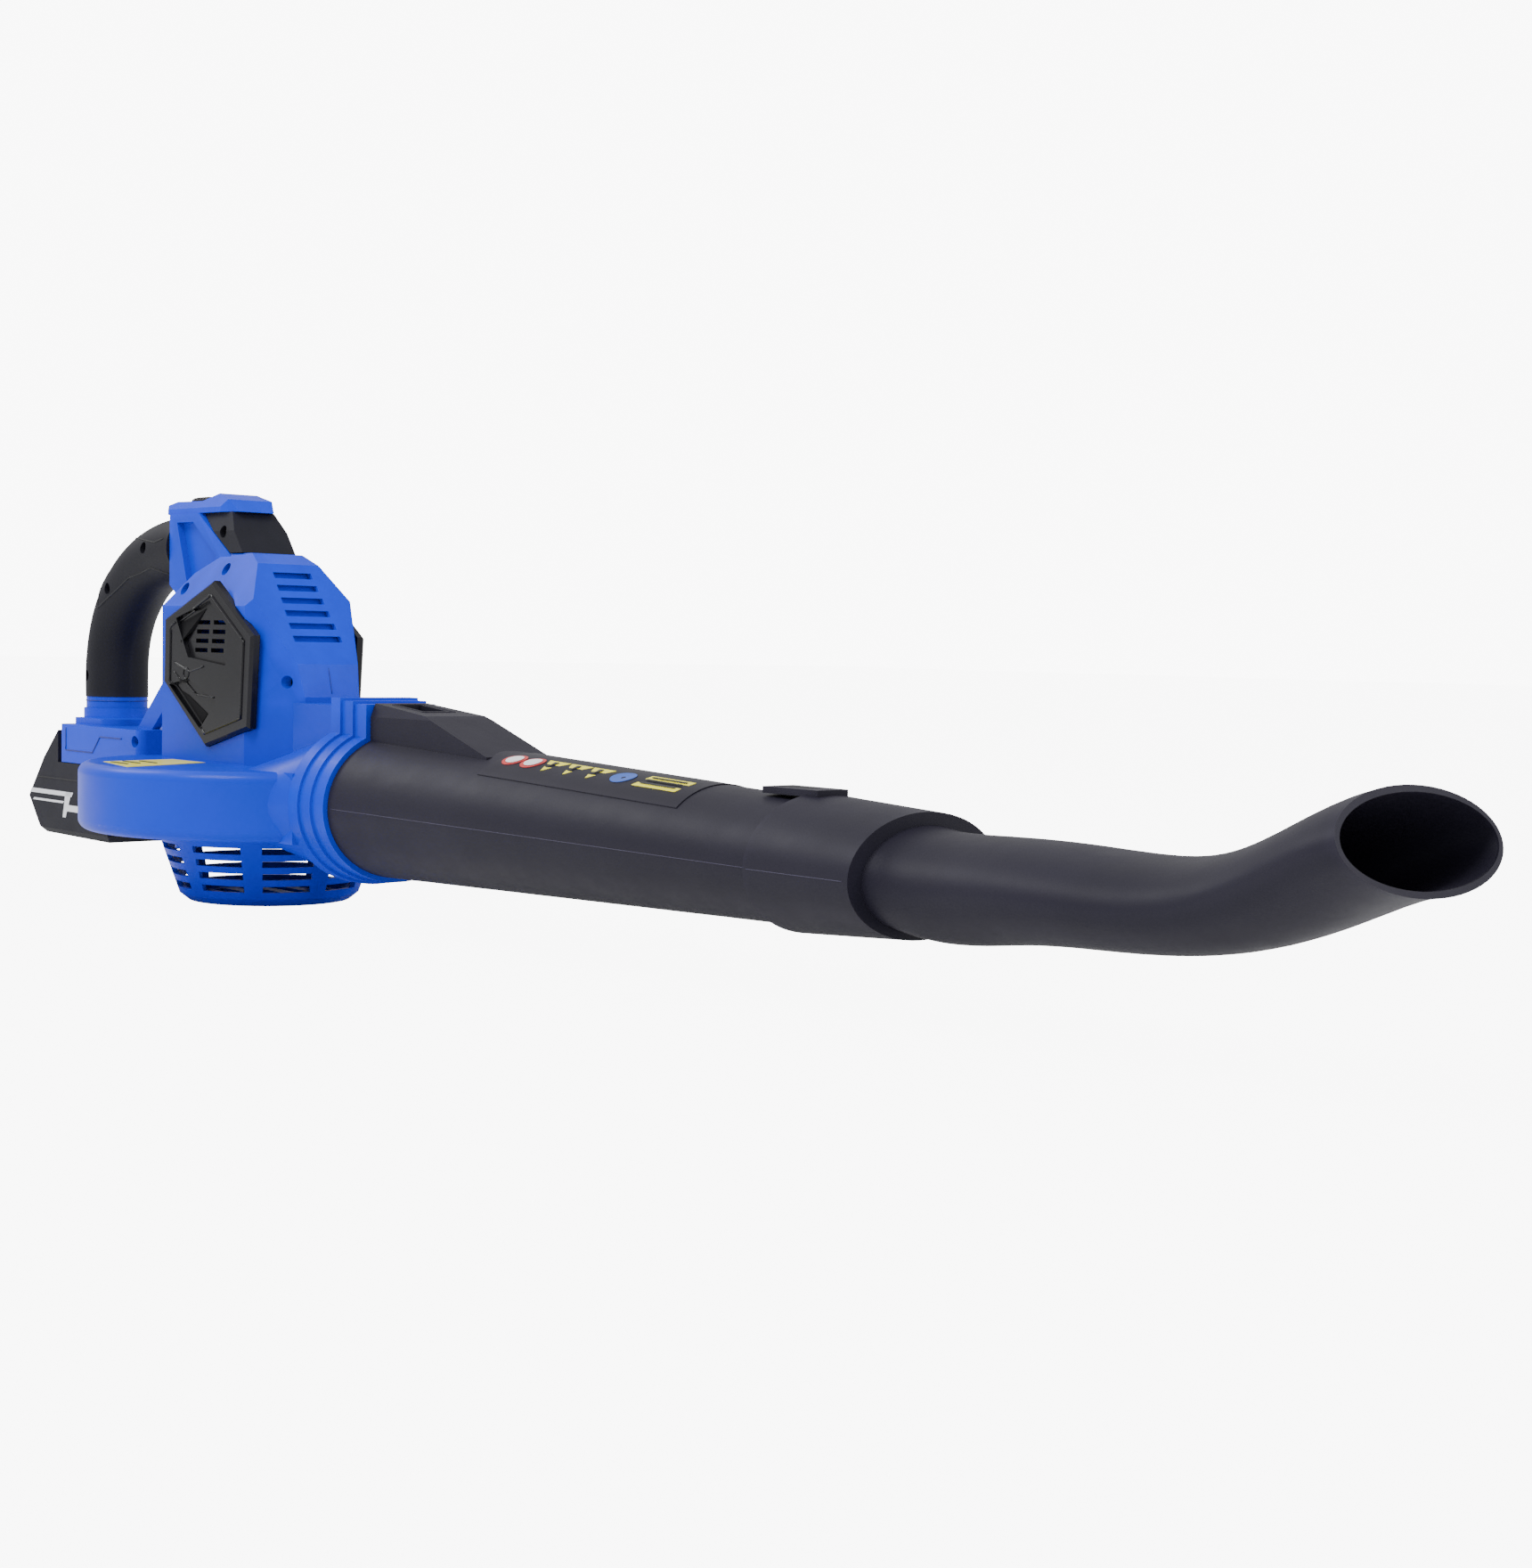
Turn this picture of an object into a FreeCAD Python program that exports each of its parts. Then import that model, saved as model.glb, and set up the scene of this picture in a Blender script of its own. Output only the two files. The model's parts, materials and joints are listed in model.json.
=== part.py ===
import FreeCAD, Part
import os
import math

# Battery leaf blower, millimetres.  +X points along the blow tube, +Y to the left, +Z up.
# The origin is the foot of the fan axis, on the plane the intake grille stands on.

V = FreeCAD.Vector

# ---- clearances -------------------------------------------------------------------------
SLIDE_GAP = 0.4          # between parts that slide or plug together
RUN_GAP = 0.05           # radial running fit of the shaft in its bearings
SCREW_GAP = 0.1          # radial, screw shank in its hole

# ---- intake grille ----------------------------------------------------------------------
GRILLE_H = 40.0
GRILLE_R_LOW = 50.0
GRILLE_R_TOP = 62.5
GRILLE_WALL = 2.6
GRILLE_FLOOR = 3.0
GRILLE_CHAMFER = 4.0
SLOT_H = 3.6
SLOT_ROWS = 4
SLOT_PITCH = 7.2
SLOT_COLUMNS = 9
LUG_R = 6.2
LUG_LOW = 31.0
LUG_INSET = 3.182        # lug axis in from the cup at the height of the screw head

# ---- fan drum ---------------------------------------------------------------------------
DRUM_R = 105.0
DRUM_TOP = 77.5
DRUM_WALL = 3.0
DRUM_EDGE = 6.0          # rounding of the drum's edges
SHAFT_HOLE_R = 9.0
INLET_R = 48.5           # air inlet in the drum's floor

# ---- blow tube --------------------------------------------------------------------------
TUBE_Z = 61.0            # centre height where the tube leaves the body
TUBE_W = 89.0
TUBE_H = 76.0
TUBE_WALL = 2.4
TUBE_LEN = 317.0         # from the collar to the nozzle sleeve
TUBE_X = DRUM_R + 28.0   # shoulder of the tube against the collar
TUBE_END_X = TUBE_X + TUBE_LEN
TUBE_END_W = 80.5
TUBE_END_H = 53.5
TUBE_END_Z = 57.5
PLUG_LEN = 30.0          # tube inside the collar
PLUG_STEP = 2.0          # plug is this much smaller, all round, than the tube
TIP_LEN = 48.0           # tube inside the nozzle sleeve
TIP_W = 77.0
TIP_H = 45.0

LABEL_LIFT = 0.15
LABEL_T = 0.3

# ---- nozzle -----------------------------------------------------------------------------
SLEEVE_WALL = 2.6
SLEEVE_LEN = 62.0
SLEEVE_END_W = 88.0
SLEEVE_END_H = 50.5
NECK_W = 74.0
NECK_H = 43.5
SPOUT_X = TUBE_END_X + 190.0   # end of the straight part of the spout
BEND_Z = 57.5
BEND_H = 36.5
MOUTH_X = SPOUT_X + 96.0
MOUTH_Z = 89.0
MOUTH_W = 100.0
MOUTH_H = 40.0
MOUTH_TILT = 24.5        # degrees above the tube's line

# ---- collar -----------------------------------------------------------------------------
COLLAR_X = DRUM_R - 2.0
COLLAR_STEPS = ((COLLAR_X, 5.2), (COLLAR_X + 9, 3.8), (COLLAR_X + 19, 2.4))
COLLAR_BLOCK_W = 44.0    # square top around the tube lock
LOCK_W = 38.0
LOCK_TOP = 115.0
LOCK_END_X = TUBE_X + 49.0
LOCK_TOE_X = TUBE_X + 103.0
LOCK_DROP = 5.0

# ---- motor housing ----------------------------------------------------------------------
HOUSE_HALF = 33.0
HOUSE_FRONT = 65.0
HOUSE_BACK = -66.0
HOUSE_TOP = 195.0
HOUSE_WALL = 3.0
COVER_OUT = 3.0          # side cover stands this proud
COVER_REBATE = 2.2       # ledge the cover lies on

# ---- grip -------------------------------------------------------------------------------
GRIP_X = -188.0
GRIP_W = 38.0
GRIP_WALL = 3.0
GRIP_FOOT_Z = 109.0
GRIP_END_X = -88.0
BRIDGE_TOP = 219.0
BRIDGE_HALF = 17.0
BEZEL_T = 8.0
KNOB_L = 18.0
KNOB_W = 14.0
KNOB_TRAVEL = 8.0

# ---- battery shoe and pack --------------------------------------------------------------
PACK_HALF = 35.0
PACK_WALL = 2.0
PACK_SKIN = 1.4          # thinner wall on the pack's sloping ends
PACK_ROOF_Z = 66.0
RELEASE_TRAVEL = 3.0
SHOE_BACK = -196.0
SHOE_BOTTOM = 68.4
SHOE_TOP = 92.0
RAIL_HEAD = 27.0
RAIL_NECK = 22.0
RAIL_STEP_Z = 76.0
RAIL_TOP_Z = 86.0
RAIL_FRONT = -122.0
PACK_SPLIT_Z = 58.0
CELL_R = 9.1
CELL_L = 65.0
CELL_PITCH = 18.5
CELL_X = -142.0
CELL_Z = (35.4, 54.0)

# ---- motor and fan ----------------------------------------------------------------------
SHAFT_R = 2.5
SHAFT_LOW = 38.0
CAN_R = 21.0
CAN_LOW = 81.0
CAN_TOP = 141.0
CAN_T = 1.4
MAGNET_T = 3.0
ARMATURE_R = 15.4
BEARING_R = 8.0
BEARING_H = 5.0
FAN_R = 66.0
FAN_LOW = 47.0
FAN_TOP = 71.0
FAN_BLADES = 11
BLADE_T = 1.8

BOARD_Z = 160.0
BOARD_T = 1.6

# ---- screws -----------------------------------------------------------------------------
SCREW_R = 1.6
SCREW_HEAD_R = 3.2
SCREW_HEAD_H = 2.4
BOSS_R = 5.0

# ---- positions of screws, knob, latch and blades ----
HOUSING_SCREWS = ((54, 124, 21.5), (-96, 85, 34.5), (-14, 186, 21), (-50, 175, 27))
GRIP_SCREWS = ((-192, 122, 14), (-164, 176, 14), (-118, 200, 14))
NECK_SCREW = (-25, 207.5, 16)
GRIP_LINE = ((GRIP_X, GRIP_FOOT_Z, 90), (GRIP_X, 128, 88), (-183, 150, 72), (-168, 172, 52),
             (-146, 188, 32), (-118, 197, 12), (GRIP_END_X - SLIDE_GAP, 200, 0))
GRIP_H = (38.0, 38.0, 37.0, 38.0, 38.0, 39.0, 38.0)
KNOB_X = -80.0
LATCH_X = TUBE_X + 19.0
LATCH_POCKET = 7.0
BLADE_Y = (-14, -5, 5, 14)
PLATE_SCREWS = ((22.5, 22.5), (-22.5, 22.5), (22.5, -22.5), (-22.5, -22.5))

# ---- outlines in the XZ plane ----
HOUSE = [(HOUSE_BACK, 70), (HOUSE_BACK, 165), (-48, 184), (-24, HOUSE_TOP), (6, HOUSE_TOP),
         (18, 189), (60, 134), (HOUSE_FRONT, 116), (HOUSE_FRONT, 70)]
COVER = [(-3, 179), (41, 149), (37, 98), (-11, 86), (-59, 121), (-58, 158)]
BRIDGE = [(-88, BRIDGE_TOP), (-88, 178), (-62, 160), (-22, 188), (-16.4, 194), (-54, BRIDGE_TOP)]
NECK = [(-53, BRIDGE_TOP), (-17, 195.4), (-3, 195.4), (-21, BRIDGE_TOP)]
PACK = [(-197, 88), (-217, 70), (-238, 45), (-223, 27), (-217, 23), (-134, 22), (-130, 26),
        (-130, 68), (-197, 68)]


# ---- helpers ----------------------------------------------------------------------------
def box(x0, x1, y0, y1, z0, z1):
    return Part.makeBox(x1 - x0, y1 - y0, z1 - z0, V(x0, y0, z0))


def post(x, y, z0, z1, r):
    return Part.makeCylinder(r, z1 - z0, V(x, y, z0))


def pin_y(x, z, y0, y1, r):
    return Part.makeCylinder(r, abs(y1 - y0), V(x, y0, z), V(0, math.copysign(1, y1 - y0), 0))


def prism_xz(points, y0, y1):
    wire = Part.makePolygon([V(x, y0, z) for x, z in points] + [V(points[0][0], y0, points[0][1])])
    return Part.Face(wire).extrude(V(0, y1 - y0, 0))


def prism_xy(points, z0, z1):
    wire = Part.makePolygon([V(x, y, z0) for x, y in points] + [V(points[0][0], points[0][1], z0)])
    return Part.Face(wire).extrude(V(0, 0, z1 - z0))


def prism_yz(points, x0, x1):
    wire = Part.makePolygon([V(x0, y, z) for y, z in points] + [V(x0, points[0][0], points[0][1])])
    return Part.Face(wire).extrude(V(x1 - x0, 0, 0))


def shrink(points, d):
    # The polygon moved inwards by d all round.
    wire = Part.makePolygon([V(x, z, 0) for x, z in points] + [V(points[0][0], points[0][1], 0)])
    inner = wire.makeOffset2D(-d, 2)
    return [(v.X, v.Y) for v in inner.OrderedVertexes]


def oval(x, z, w, h, tilt=0.0):
    # An ellipse across the blow line, w wide and h high; the wider axis is always level.
    arc = Part.Ellipse(V(0, 0, 0), w / 2.0, h / 2.0)
    wire = Part.Wire([arc.toShape()])
    turn = FreeCAD.Rotation(V(0, 1, 0), V(0, 0, 1), V(1, 0, 0), "XYZ")
    lean = FreeCAD.Rotation(V(0, 1, 0), -tilt)
    wire.Placement = FreeCAD.Placement(V(x, 0, z), lean.multiply(turn))
    return wire


def loft(wires, ruled=False):
    return Part.makeLoft(wires, True, ruled)


def straight(x0, x1, z, w, h):
    return loft([oval(x0, z, w, h), oval(x1, z, w, h)], True)


def fuse(shapes):
    out = shapes[0].multiFuse(shapes[1:]) if len(shapes) > 1 else shapes[0]
    return out.removeSplitter()


def cut(shape, tools):
    for tool in tools:
        shape = shape.cut(tool)
    return shape


def round_edges(shape, keep, r):
    edges = [e for e in shape.Edges if keep(e)]
    return shape.makeFillet(r, edges)


def upright(e):
    a, b = e.Vertexes[0].Point, e.Vertexes[-1].Point
    return abs(a.x - b.x) < 1e-6 and abs(a.y - b.y) < 1e-6 and abs(a.z - b.z) > 1e-6


def half(shape, side):
    # side -1 keeps the right half (-Y), +1 the left half.
    big = 1000.0
    y0, y1 = (-big, 0.0) if side < 0 else (0.0, big)
    return shape.common(box(-big, big, y0, y1, -big, big))


def save(name, shapes):
    if not isinstance(shapes, list):
        shapes = [shapes]
    solids = [s for shape in shapes for s in shape.Solids]
    out = solids[0] if len(solids) == 1 else Part.makeCompound(solids)
    out.exportStep("parts/" + name + ".step")
    print(name, len(solids), all(s.isValid() for s in solids), round(out.Volume))


def screw_y(x, z, y_head, y_tip):
    # A pan-head screw along Y with its head on the right.
    head = pin_y(x, z, y_head, y_head + SCREW_HEAD_H, SCREW_HEAD_R)
    cross = [box(x - 0.5, x + 0.5, y_head - 0.1, y_head + 1.2, z - 2, z + 2),
             box(x - 2, x + 2, y_head - 0.1, y_head + 1.2, z - 0.5, z + 0.5)]
    return cut(head.fuse(pin_y(x, z, y_head, y_tip, SCREW_R)), cross)


def screw_hole_y(x, z, y_skin, y_head, y_tip):
    # Counterbore from the skin to under the head, then the shank hole.
    well = pin_y(x, z, y_skin, y_head + SCREW_HEAD_H, SCREW_HEAD_R + 0.3)
    return well.fuse(pin_y(x, z, y_head, y_tip + 0.5, SCREW_R + SCREW_GAP))


# ---- blue housing -----------------------------------------------------------------------
def house_prism(d):
    # Motor housing as three crossing prisms, all moved inwards by d.
    side = shrink(HOUSE, d) if d else HOUSE
    h = HOUSE_HALF - d
    plan = [(HOUSE_BACK + d, -h), (28, -h), (HOUSE_FRONT - d, -17 + d * 0.4),
            (HOUSE_FRONT - d, 17 - d * 0.4), (28, h), (HOUSE_BACK + d, h)]
    front = [(-h, 70 + d), (-h, 165), (-16 + d * 0.4, HOUSE_TOP - d), (16 - d * 0.4, HOUSE_TOP - d),
             (h, 165), (h, 70 + d)]
    body = prism_xz(side, -h, h)
    body = body.common(prism_xy(plan, 60, 200))
    return body.common(prism_yz(front, -100, 100))


def drum_outer():
    drum = post(0, 0, GRILLE_H, DRUM_TOP, DRUM_R)
    drum = drum.makeFillet(DRUM_EDGE, [e for e in drum.Edges if e.Curve.TypeId == "Part::GeomCircle"])
    funnel = loft([oval(35, 58.7, 150, 36), oval(COLLAR_X + 3, TUBE_Z, TUBE_W + 7, TUBE_H + 7)])
    cheek = box(0, COLLAR_X, -47, 47, GRILLE_H, DRUM_TOP)
    return fuse([drum, cheek, funnel])


def drum_inner():
    z0, z1 = GRILLE_H + DRUM_WALL, DRUM_TOP - DRUM_WALL
    cavity = post(0, 0, z0, z1, DRUM_R - DRUM_WALL)
    w, h = TUBE_W - 2 * PLUG_STEP, TUBE_H - 2 * PLUG_STEP
    funnel = loft([oval(40, 58.7, 130, z1 - z0), oval(TUBE_X - PLUG_LEN - 4, TUBE_Z, w - 3, h - 3)])
    return fuse([cavity, funnel])


def collar():
    rings = []
    ends = [s[0] for s in COLLAR_STEPS[1:]] + [TUBE_X - SLIDE_GAP]
    for (x0, grow), x1 in zip(COLLAR_STEPS, ends):
        rings.append(straight(x0, x1, TUBE_Z, TUBE_W + 2 * grow, TUBE_H + 2 * grow))
        half_w = COLLAR_BLOCK_W / 2 + grow - 3
        rings.append(box(x0, x1, -half_w, half_w, TUBE_Z, LOCK_TOP - 3 + grow))
    rings.append(box(HOUSE_FRONT - 4, COLLAR_X, -22, 22, DRUM_TOP - 4, LOCK_TOP - 2))
    return fuse(rings)


def plug_hole():
    w = TUBE_W - 2 * PLUG_STEP + 2 * SLIDE_GAP
    h = TUBE_H - 2 * PLUG_STEP + 2 * SLIDE_GAP
    return straight(TUBE_X - PLUG_LEN - SLIDE_GAP, TUBE_X + 1, TUBE_Z, w, h)


def shoe():
    body = box(SHOE_BACK, -90, -PACK_HALF, PACK_HALF, SHOE_BOTTOM, SHOE_TOP)
    body = round_edges(body, upright, 5.0)
    plinth = box(-212, -150, -24, 24, 86, SHOE_TOP + 4)
    plinth = round_edges(plinth, upright, 12.0)
    return body.fuse(plinth.common(box(SHOE_BACK, 0, -99, 99, 0, 200)))


def shoe_rails():
    g = SLIDE_GAP
    head = box(SHOE_BACK - 30, RAIL_FRONT + 2 * g, -RAIL_HEAD - g, RAIL_HEAD + g,
               RAIL_STEP_Z - g, RAIL_TOP_Z + g)
    neck = box(SHOE_BACK - 30, RAIL_FRONT + 2 * g, -RAIL_NECK - g, RAIL_NECK + g,
               SHOE_BOTTOM - 1, RAIL_STEP_Z)
    return head.fuse(neck)


def struts():
    leg = [(-124, 88), (-106, 88), (-64, 124), (-64, 142)]
    return [prism_xz(leg, y, y + 5) for y in (-21, 16)]


def bridge():
    body = prism_xz(BRIDGE, -BRIDGE_HALF, BRIDGE_HALF)
    pocket = [(-79, 214), (-66, 176), (-34, 190), (-33, 194), (-60, 214)]
    near = prism_xz(pocket, -BRIDGE_HALF - 1, -BRIDGE_HALF + 4)
    far = prism_xz(pocket, BRIDGE_HALF - 4, BRIDGE_HALF + 1)
    return cut(body, [near, far])


def front_vents():
    # Level slots through the sloping front face.
    slots = []
    for i in range(6):
        z = 181.0 - 7.0 * i
        half_w = 12.0 + 0.6 * i
        slots.append(box(10, 80, -half_w, half_w, z, z + 3.2))
    return slots


def cover_seat(side, grow, y_in, y_out):
    pts = shrink(COVER, -grow) if grow else COVER
    a, b = side * y_in, side * y_out
    return prism_xz(pts, min(a, b), max(a, b))


def housing():
    outer = fuse([drum_outer(), house_prism(0), collar(), shoe()] + struts() + [bridge()])
    walls = [drum_inner(), house_prism(HOUSE_WALL).common(box(-200, 200, -60, 60, DRUM_TOP, 300)),
             plug_hole(), shoe_rails(), post(0, 0, DRUM_TOP - 5, DRUM_TOP + 1, SHAFT_HOLE_R),
             post(0, 0, GRILLE_H - 1, GRILLE_H + DRUM_WALL + 1, INLET_R),
             box(-86, -56, -9, 9, 186, BRIDGE_TOP + 1), box(-60, -44, -9, 9, 172, 190),
             prism_xz(NECK, -99, 99), grille_cone(-SLIDE_GAP)]
    for side in (-1, 1):
        walls.append(cover_seat(side, SLIDE_GAP / 2, HOUSE_HALF - COVER_REBATE, HOUSE_HALF + 1))
        walls.append(cover_seat(side, -5.0, HOUSE_HALF - HOUSE_WALL - 2, HOUSE_HALF + 1))
    shell = cut(outer, walls + front_vents())
    ribs = [pin_y(x, z, -HOUSE_HALF, HOUSE_HALF, BOSS_R) for x, z, _ in HOUSING_SCREWS
            if z > DRUM_TOP + 20]
    ribs += [box(-100, 100, y, y + 3, BOARD_Z - 4, BOARD_Z) for y in (-24.5, 21.5)]
    shell = fuse([shell] + [rib.common(house_prism(0.5)) for rib in ribs])
    holes = [screw_hole_y(x, z, -60, -reach + 4, 8) for x, z, reach in HOUSING_SCREWS]
    return cut(shell, holes + grille_screw_holes() + [terminal_block()])


def housing_screws():
    return [screw_y(x, z, -reach + 4, 8) for x, z, reach in HOUSING_SCREWS]


def side_cover(side):
    plate = cover_seat(side, 0, HOUSE_HALF - COVER_REBATE, HOUSE_HALF + COVER_OUT)
    rim = [e for e in plate.Edges if all(abs(v.Y - side * (HOUSE_HALF + COVER_OUT)) < 1e-6
                                         for v in e.Vertexes)]
    plate = plate.makeChamfer(1.6, rim)
    y0, y1 = side * (HOUSE_HALF + 0.6), side * (HOUSE_HALF + COVER_OUT + 1)
    y0, y1 = min(y0, y1), max(y0, y1)
    upper = prism_xz([(-44, 158), (-6, 168), (20, 150), (12, 132), (-30, 136)], y0, y1)
    lower = prism_xz([(-52, 120), (-16, 96), (2, 112), (-30, 124)], y0, y1)
    plate = cut(plate, [upper, lower])
    far = side * (HOUSE_HALF + 6)
    near = side * (HOUSE_HALF - 6)
    for i in range(4):
        z = 139.0 + 5.2 * i
        for x0, x1 in ((-26, -12), (-8, 6)):
            plate = plate.cut(box(x0 + i, x1 + i, min(near, far), max(near, far), z, z + 2.4))
    return plate


# ---- intake grille ----------------------------------------------------------------------
def grille_cone(d):
    low, top = GRILLE_R_LOW - d, GRILLE_R_TOP - d
    z0 = GRILLE_FLOOR if d > 0 else 0.0
    z1 = z0 + GRILLE_CHAMFER
    foot = Part.makeCone(low - 5, low, GRILLE_CHAMFER, V(0, 0, z0))
    cone = Part.makeCone(low, top, GRILLE_H - z1, V(0, 0, z1))
    return foot.fuse(cone)


def lug_ring():
    head_low = LUG_LOW - SCREW_HEAD_H
    foot = GRILLE_FLOOR + GRILLE_CHAMFER
    rise = (head_low - foot) / (GRILLE_H - foot)
    inner = GRILLE_R_LOW + (GRILLE_R_TOP - GRILLE_R_LOW) * rise - GRILLE_WALL
    return inner - LUG_INSET


def grille():
    cup = grille_cone(0).cut(grille_cone(GRILLE_WALL))
    slots = []
    for row in range(SLOT_ROWS):
        z = 8.0 + SLOT_PITCH * row
        for k in range(SLOT_COLUMNS):
            angle = 360.0 / SLOT_COLUMNS * (k + 0.5)
            slot = box(30, 80, -13 - row * 0.6, 13 + row * 0.6, z, z + SLOT_H)
            slot.rotate(V(0, 0, 0), V(0, 0, 1), angle)
            slots.append(slot)
    for i in range(5):
        y = -32.0 + 16.0 * i - 4.0
        reach = 30.0 if abs(i - 2) < 2 else 18.0
        slots.append(box(-reach, reach, y, y + 8.0, -1, GRILLE_FLOOR + 1))
    cup = cut(cup, slots)
    lugs = []
    for angle in (30, 150, 270):
        lug = post(lug_ring(), 0, LUG_LOW, GRILLE_H, LUG_R)
        lug.rotate(V(0, 0, 0), V(0, 0, 1), angle)
        lugs.append(lug)
    return cut(fuse([cup] + lugs), grille_screw_holes())


def grille_screw(angle, hole):
    r = SCREW_R + (SCREW_GAP if hole else 0.0)
    out = post(lug_ring(), 0, LUG_LOW, GRILLE_H + (2.6 if hole else 2.4), r)
    if not hole:
        out = out.fuse(post(lug_ring(), 0, LUG_LOW - SCREW_HEAD_H, LUG_LOW, SCREW_HEAD_R))
    out.rotate(V(0, 0, 0), V(0, 0, 1), angle)
    return out


def grille_screw_holes():
    return [grille_screw(a, True) for a in (30, 150, 270)]


def grille_screws():
    return [grille_screw(a, False) for a in (30, 150, 270)]


# ---- grip -------------------------------------------------------------------------------
def grip_station(x, z, w, h, tilt):
    arc = Part.Wire([Part.Ellipse(V(0, 0, 0), max(w, h) / 2.0, min(w, h) / 2.0).toShape()])
    turn = FreeCAD.Rotation(V(0, 1, 0), V(0, 0, 1), V(1, 0, 0), "XYZ")
    if h > w:
        turn = turn.multiply(FreeCAD.Rotation(V(0, 0, 1), 90))
    arc.Placement = FreeCAD.Placement(V(x, 0, z), FreeCAD.Rotation(V(0, 1, 0), -tilt).multiply(turn))
    return arc


def grip_tube(d):
    stations = [grip_station(x, z, GRIP_W - 2 * d, h - 2 * d - 0.4, tilt)
                for (x, z, tilt), h in zip(GRIP_LINE, GRIP_H)]
    return loft(stations)


def grip():
    shell = grip_tube(0).cut(grip_tube(GRIP_WALL))
    posts = [pin_y(x, z, -17, 17, BOSS_R).common(grip_tube(0)) for x, z, _ in GRIP_SCREWS]
    return cut(fuse([shell] + posts), [screw_hole_y(x, z, -60, -r + 4, 8) for x, z, r in GRIP_SCREWS])


def grip_screws():
    return [screw_y(x, z, -r + 4, 8) for x, z, r in GRIP_SCREWS]


def neck_ring():
    z0 = SHOE_TOP + 4
    ring = post(GRIP_X, 0, z0, GRIP_FOOT_Z, 18.6)
    ring = ring.fuse(post(GRIP_X, 0, z0, z0 + 6, 20.0))
    return ring.cut(post(GRIP_X, 0, z0 - 1, GRIP_FOOT_Z + 1, 14.0))


def front_neck():
    body = prism_xz(NECK, -BRIDGE_HALF, BRIDGE_HALF)
    body = body.common(prism_yz([(-17, 190), (-17, 208), (-13, 220), (13, 220), (17, 208), (17, 190)],
                                -60, 60))
    x, z, r = NECK_SCREW
    return body.cut(screw_hole_y(x, z, -60, -r + 4, 8))


def bezel():
    top = [(-100, BRIDGE_TOP), (-99, 223.5), (-84, BRIDGE_TOP + BEZEL_T - 0.5), (-54, 226),
           (-38, BRIDGE_TOP + BEZEL_T + 3), (-24, 226), (-17, BRIDGE_TOP)]
    body = prism_xz(top, -16, 16)
    sides = [(-16, 200), (-16, 222), (-11, 232), (11, 232), (16, 222), (16, 200)]
    body = body.common(prism_yz(sides, -120, 60))
    plan = [(-100, -9), (-92, -16), (-30, -16), (-17, -11), (-17, 11), (-30, 16), (-92, 16),
            (-100, 9)]
    body = body.common(prism_xy(plan, 200, 240))
    slot_l = KNOB_L + KNOB_TRAVEL + 2 * SLIDE_GAP
    well = box(KNOB_X - SLIDE_GAP, KNOB_X - SLIDE_GAP + slot_l,
               -KNOB_W / 2 - SLIDE_GAP, KNOB_W / 2 + SLIDE_GAP, BRIDGE_TOP + 2, 240)
    stem = box(KNOB_X + 6 - SLIDE_GAP, KNOB_X + 12 + KNOB_TRAVEL + SLIDE_GAP, -3.4, 3.4, 210, 240)
    return cut(body, [well, stem])


def knob():
    z0 = BRIDGE_TOP + 2 + SLIDE_GAP
    body = box(KNOB_X, KNOB_X + KNOB_L, -KNOB_W / 2, KNOB_W / 2, z0, 229.0)
    crest = [e for e in body.Edges if all(abs(v.Z - 229.0) < 1e-6 for v in e.Vertexes)]
    body = body.makeChamfer(1.2, crest)
    for i in range(4):
        x = KNOB_X + 3.4 + 3.4 * i
        body = body.cut(box(x, x + 1.2, -9, 9, 227.9, 231))
    stem = box(KNOB_X + 6, KNOB_X + 12, -3, 3, 212.6, z0 + 1)
    return body.fuse(stem).removeSplitter()


def switch_body():
    body = box(-85, -57, -8, 8, 196, 214)
    slot = box(KNOB_X + 6 - 1, KNOB_X + 12 + KNOB_TRAVEL + 1, -3.6, 3.6, 212, 215)
    tabs = [box(-82 + 8 * i, -80 + 8 * i, -2, 2, 190, 196) for i in range(3)]
    return fuse([body.cut(slot)] + tabs)


# ---- blow tube --------------------------------------------------------------------------
def tube_skin(d):
    main = loft([oval(TUBE_X, TUBE_Z, TUBE_W - 2 * d, TUBE_H - 2 * d),
                 oval(TUBE_END_X, TUBE_END_Z, TUBE_END_W - 2 * d, TUBE_END_H - 2 * d)], True)
    tip = loft([oval(TUBE_END_X, TUBE_END_Z, TUBE_END_W - 2 * d, TUBE_END_H - 2 * d),
                oval(TUBE_END_X + TIP_LEN, TUBE_END_Z, TIP_W - 2 * d, TIP_H - 2 * d)], True)
    p = PLUG_STEP + d
    plug = straight(TUBE_X - PLUG_LEN, TUBE_X, TUBE_Z, TUBE_W - 2 * p, TUBE_H - 2 * p)
    return fuse([main, tip, plug])


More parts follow.
